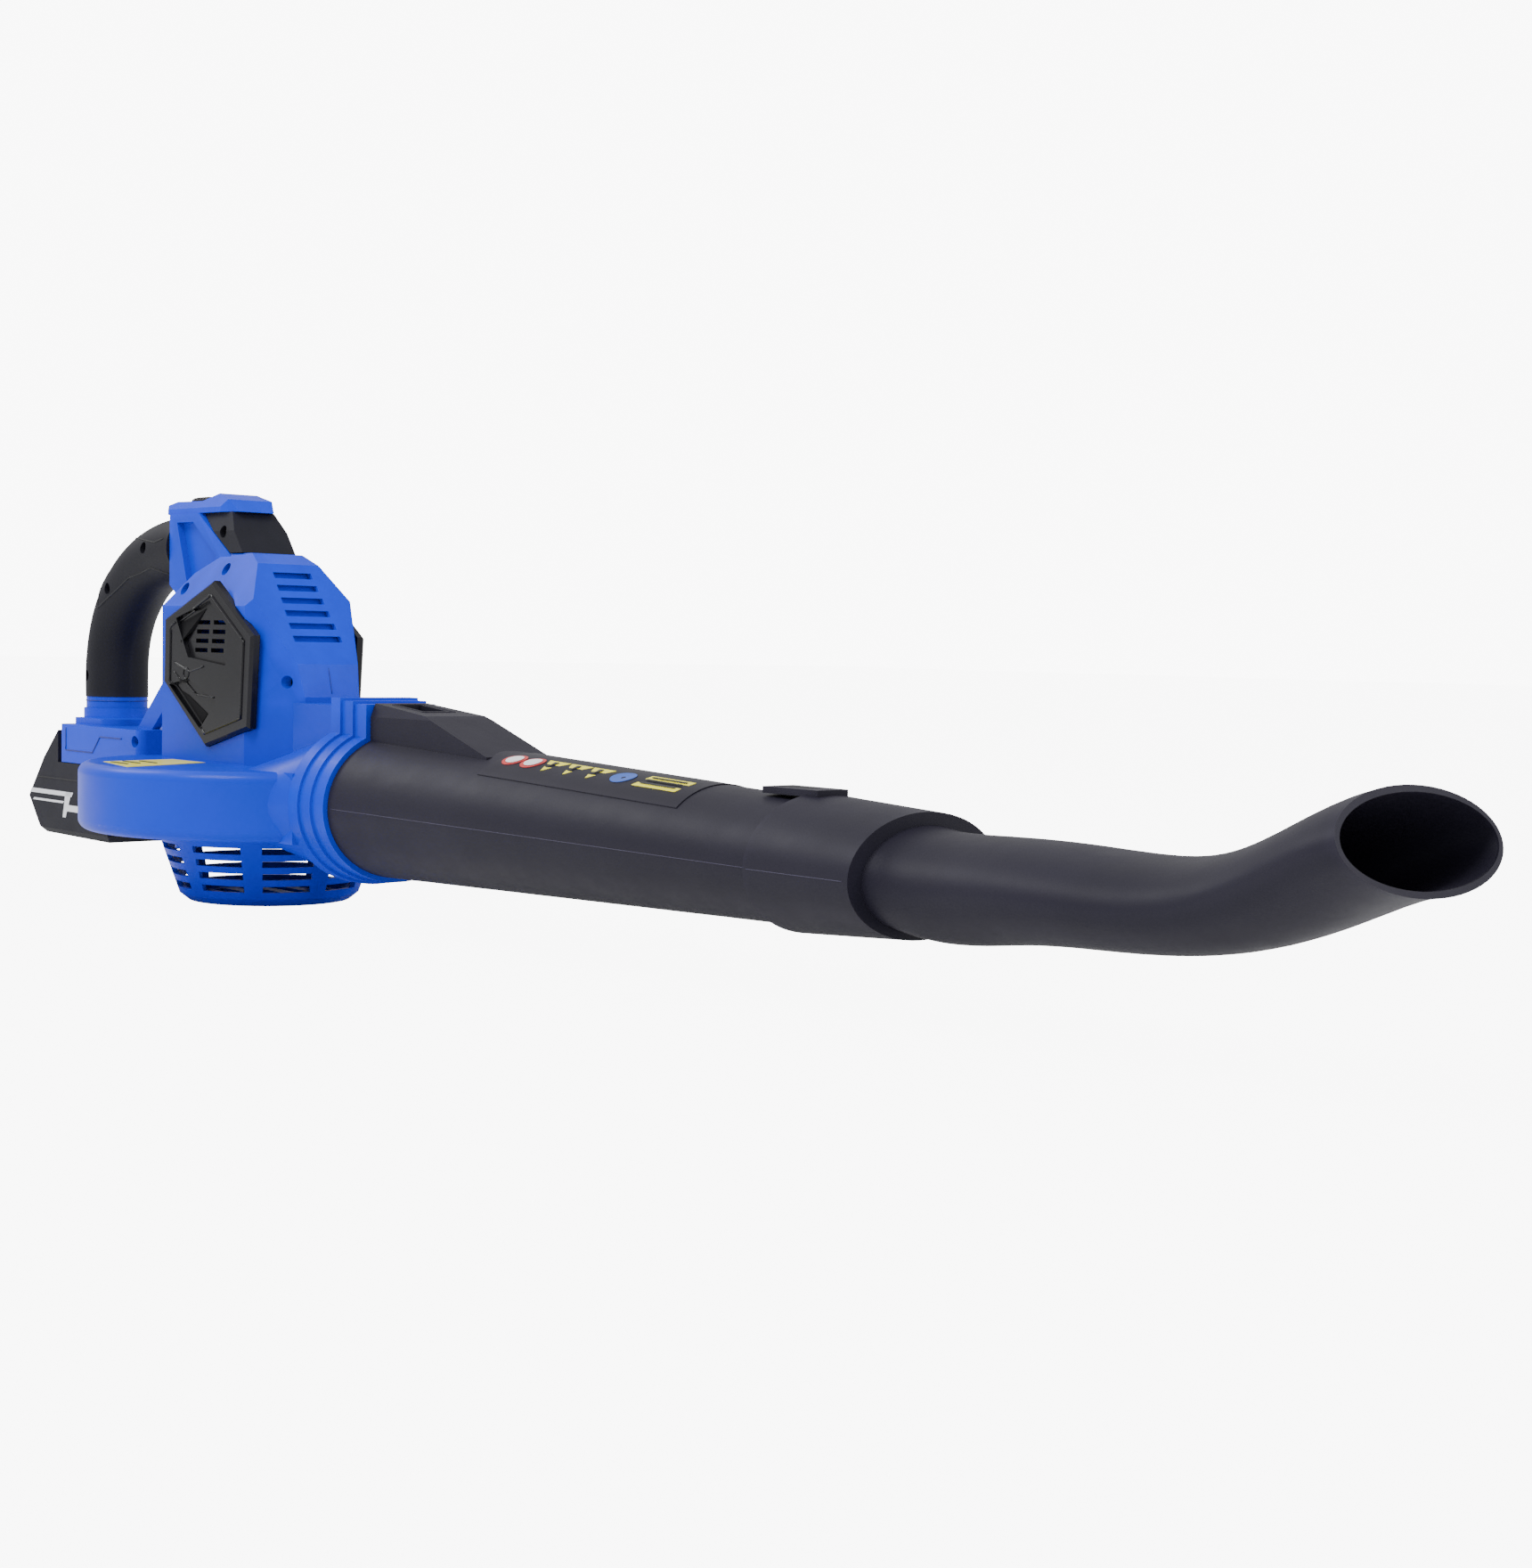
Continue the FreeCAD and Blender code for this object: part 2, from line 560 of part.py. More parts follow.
def rear_tube():
    top = [(TUBE_X, 70), (TUBE_X, LOCK_TOP), (LOCK_END_X, LOCK_TOP - LOCK_DROP),
           (LOCK_TOE_X, 92), (LOCK_TOE_X, 70)]
    lock = prism_xz(top, -LOCK_W / 2, LOCK_W / 2)
    lock = lock.common(prism_yz([(-19, 60), (-19, 108), (-15, 118), (15, 118), (19, 108), (19, 60)],
                                0, LOCK_TOE_X + 10))
    outer = fuse([tube_skin(0), lock])
    shoulder = straight(TUBE_X - 1, TUBE_X + 4, TUBE_Z, TUBE_W, TUBE_H)
    shoulder = shoulder.cut(straight(TUBE_X - 2, TUBE_X + 5, TUBE_Z, TUBE_W - 2 * (PLUG_STEP + TUBE_WALL),
                                     TUBE_H - 2 * (PLUG_STEP + TUBE_WALL)))
    bore = tube_skin(TUBE_WALL).cut(shoulder)
    ends = [straight(TUBE_X - PLUG_LEN - 1, TUBE_X - PLUG_LEN + 1, TUBE_Z,
                     TUBE_W - 2 * (PLUG_STEP + TUBE_WALL), TUBE_H - 2 * (PLUG_STEP + TUBE_WALL)),
            straight(TUBE_END_X + TIP_LEN - 0.5, TUBE_END_X + TIP_LEN + 1, TUBE_END_Z,
                     TIP_W - 2 * TUBE_WALL, TIP_H - 2 * TUBE_WALL)]
    pocket = box(LATCH_X - 12, LATCH_X + 12, -LATCH_POCKET, LATCH_POCKET, 101, 130)
    return cut(outer, [bore, pocket] + ends)


def tube_latch():
    # D-shaped press button in the tube lock, with a ledge under it for the spring.
    g = SLIDE_GAP
    r = LATCH_POCKET - g
    pad = post(LATCH_X + 12 - g - r, 0, 106, 109.6, r)
    pad = pad.fuse(box(LATCH_X - 12 + g, LATCH_X + 12 - g - r, -r, r, 106, 109.6))
    return fuse([pad, post(LATCH_X, 0, 103.8, 106, 2.0)])


def coil(x, y, z0, z1, r, wire_r, turns):
    path = Part.makeHelix((z1 - z0 - 2 * wire_r) / turns, z1 - z0 - 2 * wire_r, r)
    ring = Part.Wire([Part.makeCircle(wire_r, V(r, 0, 0), V(0, 1, 0))])
    body = Part.Wire(path.Edges).makePipeShell([ring], True, True)
    body.translate(V(x, y, z0 + wire_r))
    return body


# ---- nozzle -----------------------------------------------------------------------------
def nozzle_skin(d):
    g = SLIDE_GAP + SLEEVE_WALL
    w0, h0 = TUBE_END_W + 2 * g, TUBE_END_H + 2 * g
    x1 = TUBE_END_X + SLEEVE_LEN
    sleeve = loft([oval(TUBE_END_X, TUBE_END_Z, w0 - 2 * d, h0 - 2 * d),
                   oval(x1, TUBE_END_Z, SLEEVE_END_W - 2 * d, SLEEVE_END_H + 1.5 - 2 * d)], True)
    straight_part = [oval(x1 - 4, BEND_Z, NECK_W - 2 * d, NECK_H - 2 * d, 0),
                     oval(SPOUT_X - 60, BEND_Z - 0.5, NECK_W - 2 * d, 40 - 2 * d, 0),
                     oval(SPOUT_X - 14, BEND_Z, 76 - 2 * d, BEND_H - 2 * d, 2),
                     oval(SPOUT_X + 28, BEND_Z + 5, 80 - 2 * d, 36 - 2 * d, 16),
                     oval(SPOUT_X + 56, BEND_Z + 15, 88 - 2 * d, 37 - 2 * d, 23),
                     oval(MOUTH_X, MOUTH_Z, MOUTH_W - 2 * d, MOUTH_H - 2 * d, MOUTH_TILT)]
    return sleeve, loft(straight_part)


def nozzle():
    sleeve, spout = nozzle_skin(0)
    sleeve_in, spout_in = nozzle_skin(SLEEVE_WALL)
    x1 = TUBE_END_X + SLEEVE_LEN
    keep = box(0, x1 - 4, -99, 99, 0, 200)
    tongue = box(TUBE_END_X - 26, TUBE_END_X + 8, -9, 9, 86.1, 89.0)
    outer = fuse([sleeve, spout])
    body = cut(outer, [sleeve_in.common(keep), spout_in])
    mouth = loft([oval(MOUTH_X - 0.6, MOUTH_Z - 0.3, MOUTH_W - 2 * SLEEVE_WALL,
                       MOUTH_H - 2 * SLEEVE_WALL, MOUTH_TILT),
                  oval(MOUTH_X + 2, MOUTH_Z + 0.9, MOUTH_W - 2 * SLEEVE_WALL,
                       MOUTH_H - 2 * SLEEVE_WALL, MOUTH_TILT)], True)
    back = straight(x1 - 4.5, x1 - 3.5, BEND_Z, NECK_W - 2 * SLEEVE_WALL, NECK_H - 2 * SLEEVE_WALL)
    return cut(fuse([body, tongue]), [mouth, back])


# ---- battery pack -----------------------------------------------------------------------
def pack_shell():
    outer = prism_xz(PACK, -PACK_HALF, PACK_HALF)
    side = [(-PACK_HALF, 26), (-PACK_HALF + 4, 21), (PACK_HALF - 4, 21), (PACK_HALF, 26),
            (PACK_HALF, 90), (-PACK_HALF, 90)]
    outer = outer.common(prism_yz(side, -300, 0))
    head = box(-196.5, RAIL_FRONT, -RAIL_HEAD, RAIL_HEAD, RAIL_STEP_Z, RAIL_TOP_Z)
    neck = box(-196.5, RAIL_FRONT, -RAIL_NECK, RAIL_NECK, 60, RAIL_STEP_Z)
    outer = fuse([outer, head, neck.cut(box(-130, -100, -99, 99, 0, SHOE_BOTTOM))])
    inside = prism_xz(shrink(PACK, PACK_SKIN), -PACK_HALF + PACK_WALL, PACK_HALF - PACK_WALL)
    inside = inside.common(box(-300, 0, -99, 99, 0, PACK_ROOF_Z))
    inside = inside.fuse(box(-190, -146, -19, 19, PACK_ROOF_Z - 1, RAIL_TOP_Z - 2.5))
    blades = [box(-142, -100, y - 1.2, y + 1.2, 74, 90) for y in BLADE_Y]
    return cut(outer, [inside] + blades)


def release_pocket(grow):
    # A block square to the pack's sloping back, under the release button.
    low = -5 - (RELEASE_TRAVEL + 1 if grow else 0)
    pad = box(-6 - grow, 6 + grow, -14 - grow, 14 + grow, low, 6 if grow else 1.5)
    pad.rotate(V(0, 0, 0), V(0, 1, 0), -42)
    pad.translate(V(-207, 0, 79))
    return pad


def pack_lower():
    return cut(pack_shell(), [box(-300, 0, -99, 99, PACK_SPLIT_Z, 200)])


def pack_upper():
    return cut(pack_shell(), [box(-300, 0, -99, 99, 0, PACK_SPLIT_Z), release_pocket(SLIDE_GAP)])


def cells():
    return [pin_y(CELL_X - CELL_PITCH * i, z, -CELL_L / 2, CELL_L / 2, CELL_R)
            for z in CELL_Z for i in range(5)]


def cell_holders():
    out = []
    for y in (-22.0, 18.0):
        plate = prism_xz(shrink(PACK, PACK_SKIN), y, y + 4.0).common(box(-300, 0, -99, 99, 0, 64.5))
        holes = [pin_y(CELL_X - CELL_PITCH * i, z, y - 1, y + 5, CELL_R)
                 for z in CELL_Z for i in range(5)]
        out.append(cut(plate, holes))
    return out


def cell_straps():
    out = []
    for y in (-CELL_L / 2 - 0.3, CELL_L / 2):
        for i in range(0, 4, 2):
            x = CELL_X - CELL_PITCH * i
            out.append(box(x - CELL_PITCH - 3, x + 3, y, y + 0.3, CELL_Z[0] - 4, CELL_Z[0] + 4))
            out.append(box(x - CELL_PITCH - 3, x + 3, y, y + 0.3, CELL_Z[1] - 4, CELL_Z[1] + 4))
    return out


def terminal_block():
    return box(RAIL_FRONT + 2 * SLIDE_GAP, -108, -19, 19, 75.6, 84)


def contacts():
    return [box(-138, RAIL_FRONT + 2 * SLIDE_GAP, y - 0.4, y + 0.4, 77, 83) for y in BLADE_Y]


# ---- motor and fan ----------------------------------------------------------------------
def motor_can():
    can = post(0, 0, CAN_LOW, CAN_TOP, CAN_R).cut(post(0, 0, CAN_LOW + CAN_T, CAN_TOP + 1, CAN_R - CAN_T))
    seat = post(0, 0, CAN_LOW - 2, CAN_LOW + BEARING_H + 1, BEARING_R + 1.6)
    bore = post(0, 0, CAN_LOW - 1, CAN_LOW + BEARING_H + 2, BEARING_R)
    lip = post(0, 0, CAN_LOW - 3, CAN_LOW + 9, SHAFT_R + 1.5)
    return cut(can.fuse(seat), [bore, lip])


def motor_plate():
    # The plate the motor hangs on, lying on top of the drum.
    plate = box(-26, 26, -26, 26, DRUM_TOP, CAN_LOW - 0.0)
    plate = plate.cut(post(0, 0, 70, 90, BEARING_R + 2.0))
    return cut(plate, [post(x, y, 70, 90, SCREW_R + SCREW_GAP) for x, y in PLATE_SCREWS])


def motor_screws():
    out = []
    for x, y in PLATE_SCREWS:
        out.append(post(x, y, DRUM_TOP, CAN_LOW, SCREW_R).fuse(
            post(x, y, CAN_LOW, CAN_LOW + 2, SCREW_HEAD_R - 0.4)))
    return out


def magnets():
    r = CAN_R - CAN_T - 0.05
    ring = post(0, 0, 92, 128, r).cut(post(0, 0, 91, 129, r - MAGNET_T))
    return [ring.common(box(-30, 30, y0, y1, 80, 140)) for y0, y1 in ((-30, -6), (6, 30))]


def end_bell():
    bell = post(0, 0, CAN_TOP, CAN_TOP + 6, CAN_R)
    bore = post(0, 0, CAN_TOP - 1, CAN_TOP + BEARING_H, BEARING_R)
    eye = post(0, 0, CAN_TOP, CAN_TOP + 8, SHAFT_R + 1.0)
    return cut(bell, [bore, eye])


def brushes():
    return [box(x0, x1, -2.5, 2.5, 131, 138) for x0, x1 in ((-19.3, -6.0), (6.0, 19.3))]


def bearings():
    out = []
    for z in (CAN_LOW - 1 + 0.0, CAN_TOP):
        out.append(post(0, 0, z, z + BEARING_H, BEARING_R).cut(
            post(0, 0, z - 1, z + BEARING_H + 1, SHAFT_R + RUN_GAP)))
    return out


def shaft():
    return post(0, 0, SHAFT_LOW, CAN_TOP + BEARING_H + 0.6, SHAFT_R)


def armature():
    core = post(0, 0, 94, 126, ARMATURE_R)
    for k in range(12):
        slot = box(9, 20, -0.9, 0.9, 90, 130)
        slot.rotate(V(0, 0, 0), V(0, 0, 1), 30.0 * k)
        core = core.cut(slot)
    ends = post(0, 0, 90, 130, 11.5)
    return fuse([core, ends]).cut(post(0, 0, 80, 140, SHAFT_R))


def commutator():
    drum = post(0, 0, 130.2, 139, 5.6)
    for k in range(12):
        slot = box(4.8, 7, -0.2, 0.2, 129, 140)
        slot.rotate(V(0, 0, 0), V(0, 0, 1), 30.0 * k)
        drum = drum.cut(slot)
    return drum.cut(post(0, 0, 129, 140, SHAFT_R))


def fan():
    disc = post(0, 0, FAN_TOP - 2, FAN_TOP, FAN_R)
    hub = post(0, 0, FAN_LOW + 4, FAN_TOP, 9.0)
    rim = post(0, 0, FAN_LOW, FAN_LOW + 2, FAN_R).cut(post(0, 0, FAN_LOW - 1, FAN_LOW + 3, 47.0))
    blades = []
    for k in range(FAN_BLADES):
        blade = box(26, FAN_R - 1.5, -BLADE_T / 2, BLADE_T / 2, FAN_LOW + 1, FAN_TOP - 1)
        blade.rotate(V(40, 0, 0), V(0, 0, 1), -24)
        blade = blade.common(post(0, 0, 40, 80, FAN_R))
        blade.rotate(V(0, 0, 0), V(0, 0, 1), 360.0 / FAN_BLADES * k)
        blades.append(blade)
    return fuse([disc, hub, rim] + blades).cut(post(0, 0, 40, 80, SHAFT_R))


def fan_nut():
    pts = [(5.2 * math.cos(math.radians(60 * i)), 5.2 * math.sin(math.radians(60 * i)))
           for i in range(6)]
    nut = prism_xy(pts, FAN_LOW - 1, FAN_LOW + 4)
    return nut.cut(post(0, 0, 40, 60, SHAFT_R))


# ---- electrics --------------------------------------------------------------------------
def control_board():
    return box(-20, 20, -25, 25, BOARD_Z, BOARD_Z + BOARD_T)


def board_parts():
    z = BOARD_Z + BOARD_T
    cap = post(-10, -10, z, z + 12.4, 5.0)
    sink = fuse([box(2, 16, -14, -12, z, z + 10.4)]
                + [box(3 + 3.4 * i, 4.4 + 3.4 * i, -12, -6, z, z + 10.4) for i in range(4)])
    chip = box(-6, 4, 4, 12, z, z + 1.8)
    plug = box(8, 16, 8, 18, z, z + 6.4)
    return [cap, sink, chip, plug]


def wire(points, r):
    pts = [V(*p) for p in points]
    curve = Part.BSplineCurve()
    curve.interpolate(pts)
    path = Part.Wire([curve.toShape()])
    ring = Part.Wire([Part.makeCircle(r, pts[0], curve.tangent(curve.FirstParameter)[0])])
    return path.makePipeShell([ring], True, True)


def leads():
    out = []
    for y in (-6, 6):
        out.append(wire([(12, y, 147.7), (12.6, y, 149.5), (20, y, 153), (23.5, y, 160),
                         (20, y + 4, 167.4), (14, y + 6, 169.8)], 1.2))
    return out


# ---- labels -----------------------------------------------------------------------------
def drum_label():
    pts = [(-32, -86), (20, -98), (-2, -40), (-40, -40)]
    return prism_xy(pts, DRUM_TOP, DRUM_TOP + LABEL_T)


def tube_label():
    skin = tube_skin(-LABEL_LIFT - LABEL_T).cut(tube_skin(-LABEL_LIFT))
    x0, x1 = LOCK_TOE_X + 8, LOCK_TOE_X + 156
    lens = [(x0, -30), (x1, -30), (x1 - 8, 30), (x0, 30)]
    return skin.common(prism_xy(lens, 70, 120))


def pack_stripe():
    return [prism_xz([(-236, 47.2), (-233.6, 50), (-176, 50), (-178, 47.2)], y, y + 0.3)
            for y in (-PACK_HALF - 0.3, PACK_HALF)]


def main():
    os.makedirs("parts", exist_ok=True)
    body = housing()
    handle = grip()
    for side, name in ((-1, "right"), (1, "left")):
        save("housing_" + name, half(body, side))
        save("grip_" + name, half(handle, side))
        save("front_neck_" + name, half(front_neck(), side))
        save("side_cover_" + name, side_cover(side))
    save("intake_grille", grille())
    save("grille_screws", grille_screws())
    save("housing_screws", housing_screws())
    save("grip_screws", grip_screws())
    x, z, r = NECK_SCREW
    save("neck_screw", screw_y(x, z, -r + 4, 8))
    save("neck_ring", neck_ring())
    save("switch_bezel", bezel())
    save("switch_knob", knob())
    save("switch_body", switch_body())
    save("motor_can", motor_can())
    save("motor_plate", motor_plate())
    save("motor_screws", motor_screws())
    save("magnets", magnets())
    save("end_bell", end_bell())
    save("brushes", brushes())
    save("bearings", bearings())
    save("motor_shaft", shaft())
    save("armature", armature())
    save("commutator", commutator())
    save("fan", fan())
    save("fan_nut", fan_nut())
    save("control_board", control_board())
    save("board_parts", board_parts())
    save("motor_leads", leads())
    save("terminal_block", terminal_block())
    save("terminal_blades", contacts())
    save("drum_label", drum_label())
    save("rear_tube", rear_tube())
    save("tube_label", tube_label())
    save("tube_latch", tube_latch())
    save("latch_spring", coil(LATCH_X, 0, 101, 106, 3.6, 0.4, 3))
    save("nozzle", nozzle())
    save("pack_lower", pack_lower())
    save("pack_upper", pack_upper())
    save("cells", cells())
    save("cell_holders", cell_holders())
    save("cell_straps", cell_straps())
    save("release_button", release_pocket(0))
    save("pack_stripe", pack_stripe())


main()
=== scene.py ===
import json
import math
import bmesh
import bpy
from mathutils import Matrix, Vector
from mathutils.bvhtree import BVHTree


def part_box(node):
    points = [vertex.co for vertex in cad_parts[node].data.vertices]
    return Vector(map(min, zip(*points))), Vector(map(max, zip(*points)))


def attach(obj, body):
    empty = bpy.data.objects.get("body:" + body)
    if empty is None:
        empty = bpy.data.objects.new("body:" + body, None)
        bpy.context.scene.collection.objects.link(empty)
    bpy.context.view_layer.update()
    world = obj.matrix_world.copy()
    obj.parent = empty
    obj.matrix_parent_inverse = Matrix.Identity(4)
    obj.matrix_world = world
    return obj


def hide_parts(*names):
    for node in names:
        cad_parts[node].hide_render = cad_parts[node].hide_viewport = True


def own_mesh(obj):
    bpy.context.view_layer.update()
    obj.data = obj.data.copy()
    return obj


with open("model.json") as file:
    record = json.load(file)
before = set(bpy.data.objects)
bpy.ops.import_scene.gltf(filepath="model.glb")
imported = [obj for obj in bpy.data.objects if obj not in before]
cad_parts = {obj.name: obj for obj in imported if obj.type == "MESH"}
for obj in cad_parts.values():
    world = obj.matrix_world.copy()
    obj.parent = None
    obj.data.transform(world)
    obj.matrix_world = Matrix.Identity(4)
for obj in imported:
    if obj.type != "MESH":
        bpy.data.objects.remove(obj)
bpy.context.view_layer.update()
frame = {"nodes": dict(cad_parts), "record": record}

bl_info = {
    "name": "Leaf blower looks",
    "version": (1, 0, 0),
    "blender": (4, 5, 0),
    "location": "View3D > Sidebar > Blower",
    "description": "Surfaces, fine detail and studio for the battery leaf blower",
    "category": "Object",
}

MM = 0.001

# Stage, in metres, watts and radians.
CAMERA_PLACE = (1.1339, -0.6604, 0.1487)
CAMERA_YAW = 0.744
CAMERA_PITCH = 0.061
CAMERA_ROLL = 0.020
SENSOR = 36.0
FLOOR_SIZE = 12.0
FLOOR_DROP = 0.0005
FLOOR_GLOW = 0.7
WHITE = 12.0
WORLD_LIGHT = 0.85
# name, place, target, size of a side, power
LAMPS = (("key", (0.3, -1.1, 1.7), (0.1, 0, 0.1), 0.8, 30),
         ("fill", (1.9, 0.9, 1.0), (0.2, 0, 0.1), 0.9, 10),
         ("back", (-1.4, -0.6, 1.5), (0, 0, 0.1), 0.8, 14))

# Lines and prints on the surfaces, in metres.
SIDES = ((-1, "right"), (1, "left"))
FAR = 0.3                  # rays start this far out and above
LINE_STEP = 0.0025
LINE_SIDES = 8
FRONT_SEAM = 0.0003
PRINT_LIFT = 0.00012
PRINT_THICK = 0.00025
TOP_PRINT_LIFT = 0.0004    # a print over another print
SIDE_PRINT = (0.0001, 0.0003)

# Switch knob ribs: length, width and height of each.
KNOB_RIBS = 5
KNOB_RIB = (0.0009, 0.010, 0.0008)

# Lock spring under the tube button.
SPRING_WIRE = 0.0004
SPRING_TURNS = 3
SPRING_STEPS = 24

# Tube sticker, in X and Y millimetres.
DISC_X = (254, 268.5)
SIGN_X = (283, 300, 317)
NOTE_X = 337
STICKER_Y = -15
DISC_STRETCH = 1.1
NOTE_STRETCH = 1.15

# Mould seams run level at this height, in millimetres.
TUBE_SEAM = [(136, 61), (448, 57.5)]
SLEEVE_SEAM = [(452, 57.5), (509, 57.5)]
PACK_SEAM = [(-225, 57.6), (-131, 57.6)]
TONGUE_SLOT = [(428, -2.6), (446, -2.6), (446, 2.6), (428, 2.6)]
LOCK_RIM = [(139, -9.5), (168, -9.5), (168, 9.5), (139, 9.5), (139, -9.5)]

# Outlines on the flanks in X and Z millimetres.
GRIP_GROOVES = [[(-152, 207), (-170, 192), (-178, 176), (-176, 164), (-160, 172), (-140, 182),
                 (-112, 188), (-96, 184)],
                [(-152, 207), (-130, 206), (-104, 203), (-94, 205)]]
PACK_GRAPHIC = [[(-230, 44), (-232, 42.6), (-190, 42.6), (-188, 44)],
                [(-186, 50), (-178, 50), (-186, 34), (-190, 34)],
                [(-182, 42), (-166, 42), (-168, 38), (-184, 38)]]
SHOE_GROOVE = [(-186, 90), (-186, 76), (-150, 76), (-140, 86), (-112, 86)]
COVER_RIM = [(-4, 171), (32.5, 146), (29.5, 103.5), (-10.5, 93.5), (-51, 122.5), (-50, 153.5),
             (-4, 171)]
# Outlines of the painted shade: dark slabs laid where the side cover recesses fall in shade.
COVER_SHADES = [[(-41.5, 155.5), (-13, 163.5), (-27.5, 151), (-38, 144.5)],
                [(-41.5, 155.5), (-38, 144.5), (-31.5, 138.5)],
                [(-49, 118.8), (-18, 98.6), (-11, 104.5), (-33, 114.5)]]
COVER_RIDGES = [[(-46, 133), (-28, 128), (-12, 131)], [(-47, 128), (-24, 115), (0, 114)]]
COVER_DIMPLE = (-32, 127, 3)

# Vent baffle behind the sloping front slots: its two edges in X and Z, half width, thickness.
BAFFLE_EDGES = ((17.2, 184.0), (50.8, 140.0))
BAFFLE_HALF = 15.5
BAFFLE_THICK = (-0.8, -0.6)
FRONT_SEAM_Z = range(118, 134, 2)
RING_SEAM_Z = (101.0, 106.5)
RING_SEAM_R = 18.65


# ---- settings ---------------------------------------------------------------------------
class BLOWER_PG_settings(bpy.types.PropertyGroup):
    """Sizes and colours of the blower's surfaces."""
    blue: bpy.props.FloatVectorProperty(
        name="Blue", description="Housing plastic", subtype="COLOR", size=3,
        min=0, max=1, default=(0.001, 0.034, 0.58))
    dark: bpy.props.FloatVectorProperty(
        name="Dark grey", description="Blow tube plastic", subtype="COLOR", size=3,
        min=0, max=1, default=(0.015, 0.0135, 0.024))
    grip: bpy.props.FloatVectorProperty(
        name="Grip", description="Handle plastic", subtype="COLOR", size=3,
        min=0, max=1, default=(0.006, 0.006, 0.0105))
    gloss: bpy.props.FloatVectorProperty(
        name="Cover", description="Side cover plastic", subtype="COLOR", size=3,
        min=0, max=1, default=(0.006, 0.006, 0.008))
    yellow: bpy.props.FloatVectorProperty(
        name="Yellow", description="Label", subtype="COLOR", size=3,
        min=0, max=1, default=(0.90, 0.82, 0.01))
    bevel: bpy.props.FloatProperty(
        name="Edge rounding", description="Bevel on moulded edges", unit="LENGTH",
        min=0.0, max=0.003, default=0.0008)
    hairline: bpy.props.FloatProperty(
        name="Mould line", description="Radius of the lines where mould halves met",
        unit="LENGTH", min=0.0001, max=0.002, default=0.0002)
    seam: bpy.props.FloatProperty(
        name="Seam", description="Radius of the lines between fitted parts", unit="LENGTH",
        min=0.0001, max=0.002, default=0.0004)
    groove: bpy.props.FloatProperty(
        name="Groove", description="Radius of the grooves in grip, shoe and cover",
        unit="LENGTH", min=0.0001, max=0.002, default=0.0005)
    ridge: bpy.props.FloatProperty(
        name="Ridge", description="Radius of the ridges on the side covers", unit="LENGTH",
        min=0.0001, max=0.002, default=0.0006)
    rim: bpy.props.FloatProperty(
        name="Rim", description="Radius of the bead round the side covers", unit="LENGTH",
        min=0.0001, max=0.002, default=0.0008)
    lens: bpy.props.FloatProperty(
        name="Lens", description="Focal length", subtype="DISTANCE_CAMERA",
        min=20, max=120, default=51.8)


def cfg():
    return bpy.context.scene.blower


# ---- shader building --------------------------------------------------------------------
class Sock:
    """A shader socket that can be added, multiplied and so on."""

    def __init__(self, tree, out):
        self.tree = tree
        self.out = out

    def math(self, op, other=None, swap=False):
        node = self.tree.nodes.new("ShaderNodeMath")
        node.operation = op
        for i, value in enumerate((other, self) if swap else (self, other)):
            if isinstance(value, Sock):
                self.tree.links.new(value.out, node.inputs[i])
            elif value is not None:
                node.inputs[i].default_value = value
        return Sock(self.tree, node.outputs[0])

    def __add__(self, o):
        return self.math("ADD", o)

    def __radd__(self, o):
        return self.math("ADD", o)

    def __sub__(self, o):
        return self.math("SUBTRACT", o)

    def __rsub__(self, o):
        return self.math("SUBTRACT", o, swap=True)

    def __mul__(self, o):
        return self.math("MULTIPLY", o)

    def __rmul__(self, o):
        return self.math("MULTIPLY", o)

    def __truediv__(self, o):
        return self.math("DIVIDE", o)

    def __rtruediv__(self, o):
        return self.math("DIVIDE", o, swap=True)

    def over(self, o):
        return self.math("GREATER_THAN", o)

    def band(self, a, b):
        node = self.tree.nodes.new("ShaderNodeMapRange")
        node.interpolation_type = "SMOOTHSTEP"
        self.tree.links.new(self.out, node.inputs["Value"])
        node.inputs["From Min"].default_value = a
        node.inputs["From Max"].default_value = b
        return Sock(self.tree, node.outputs["Result"])


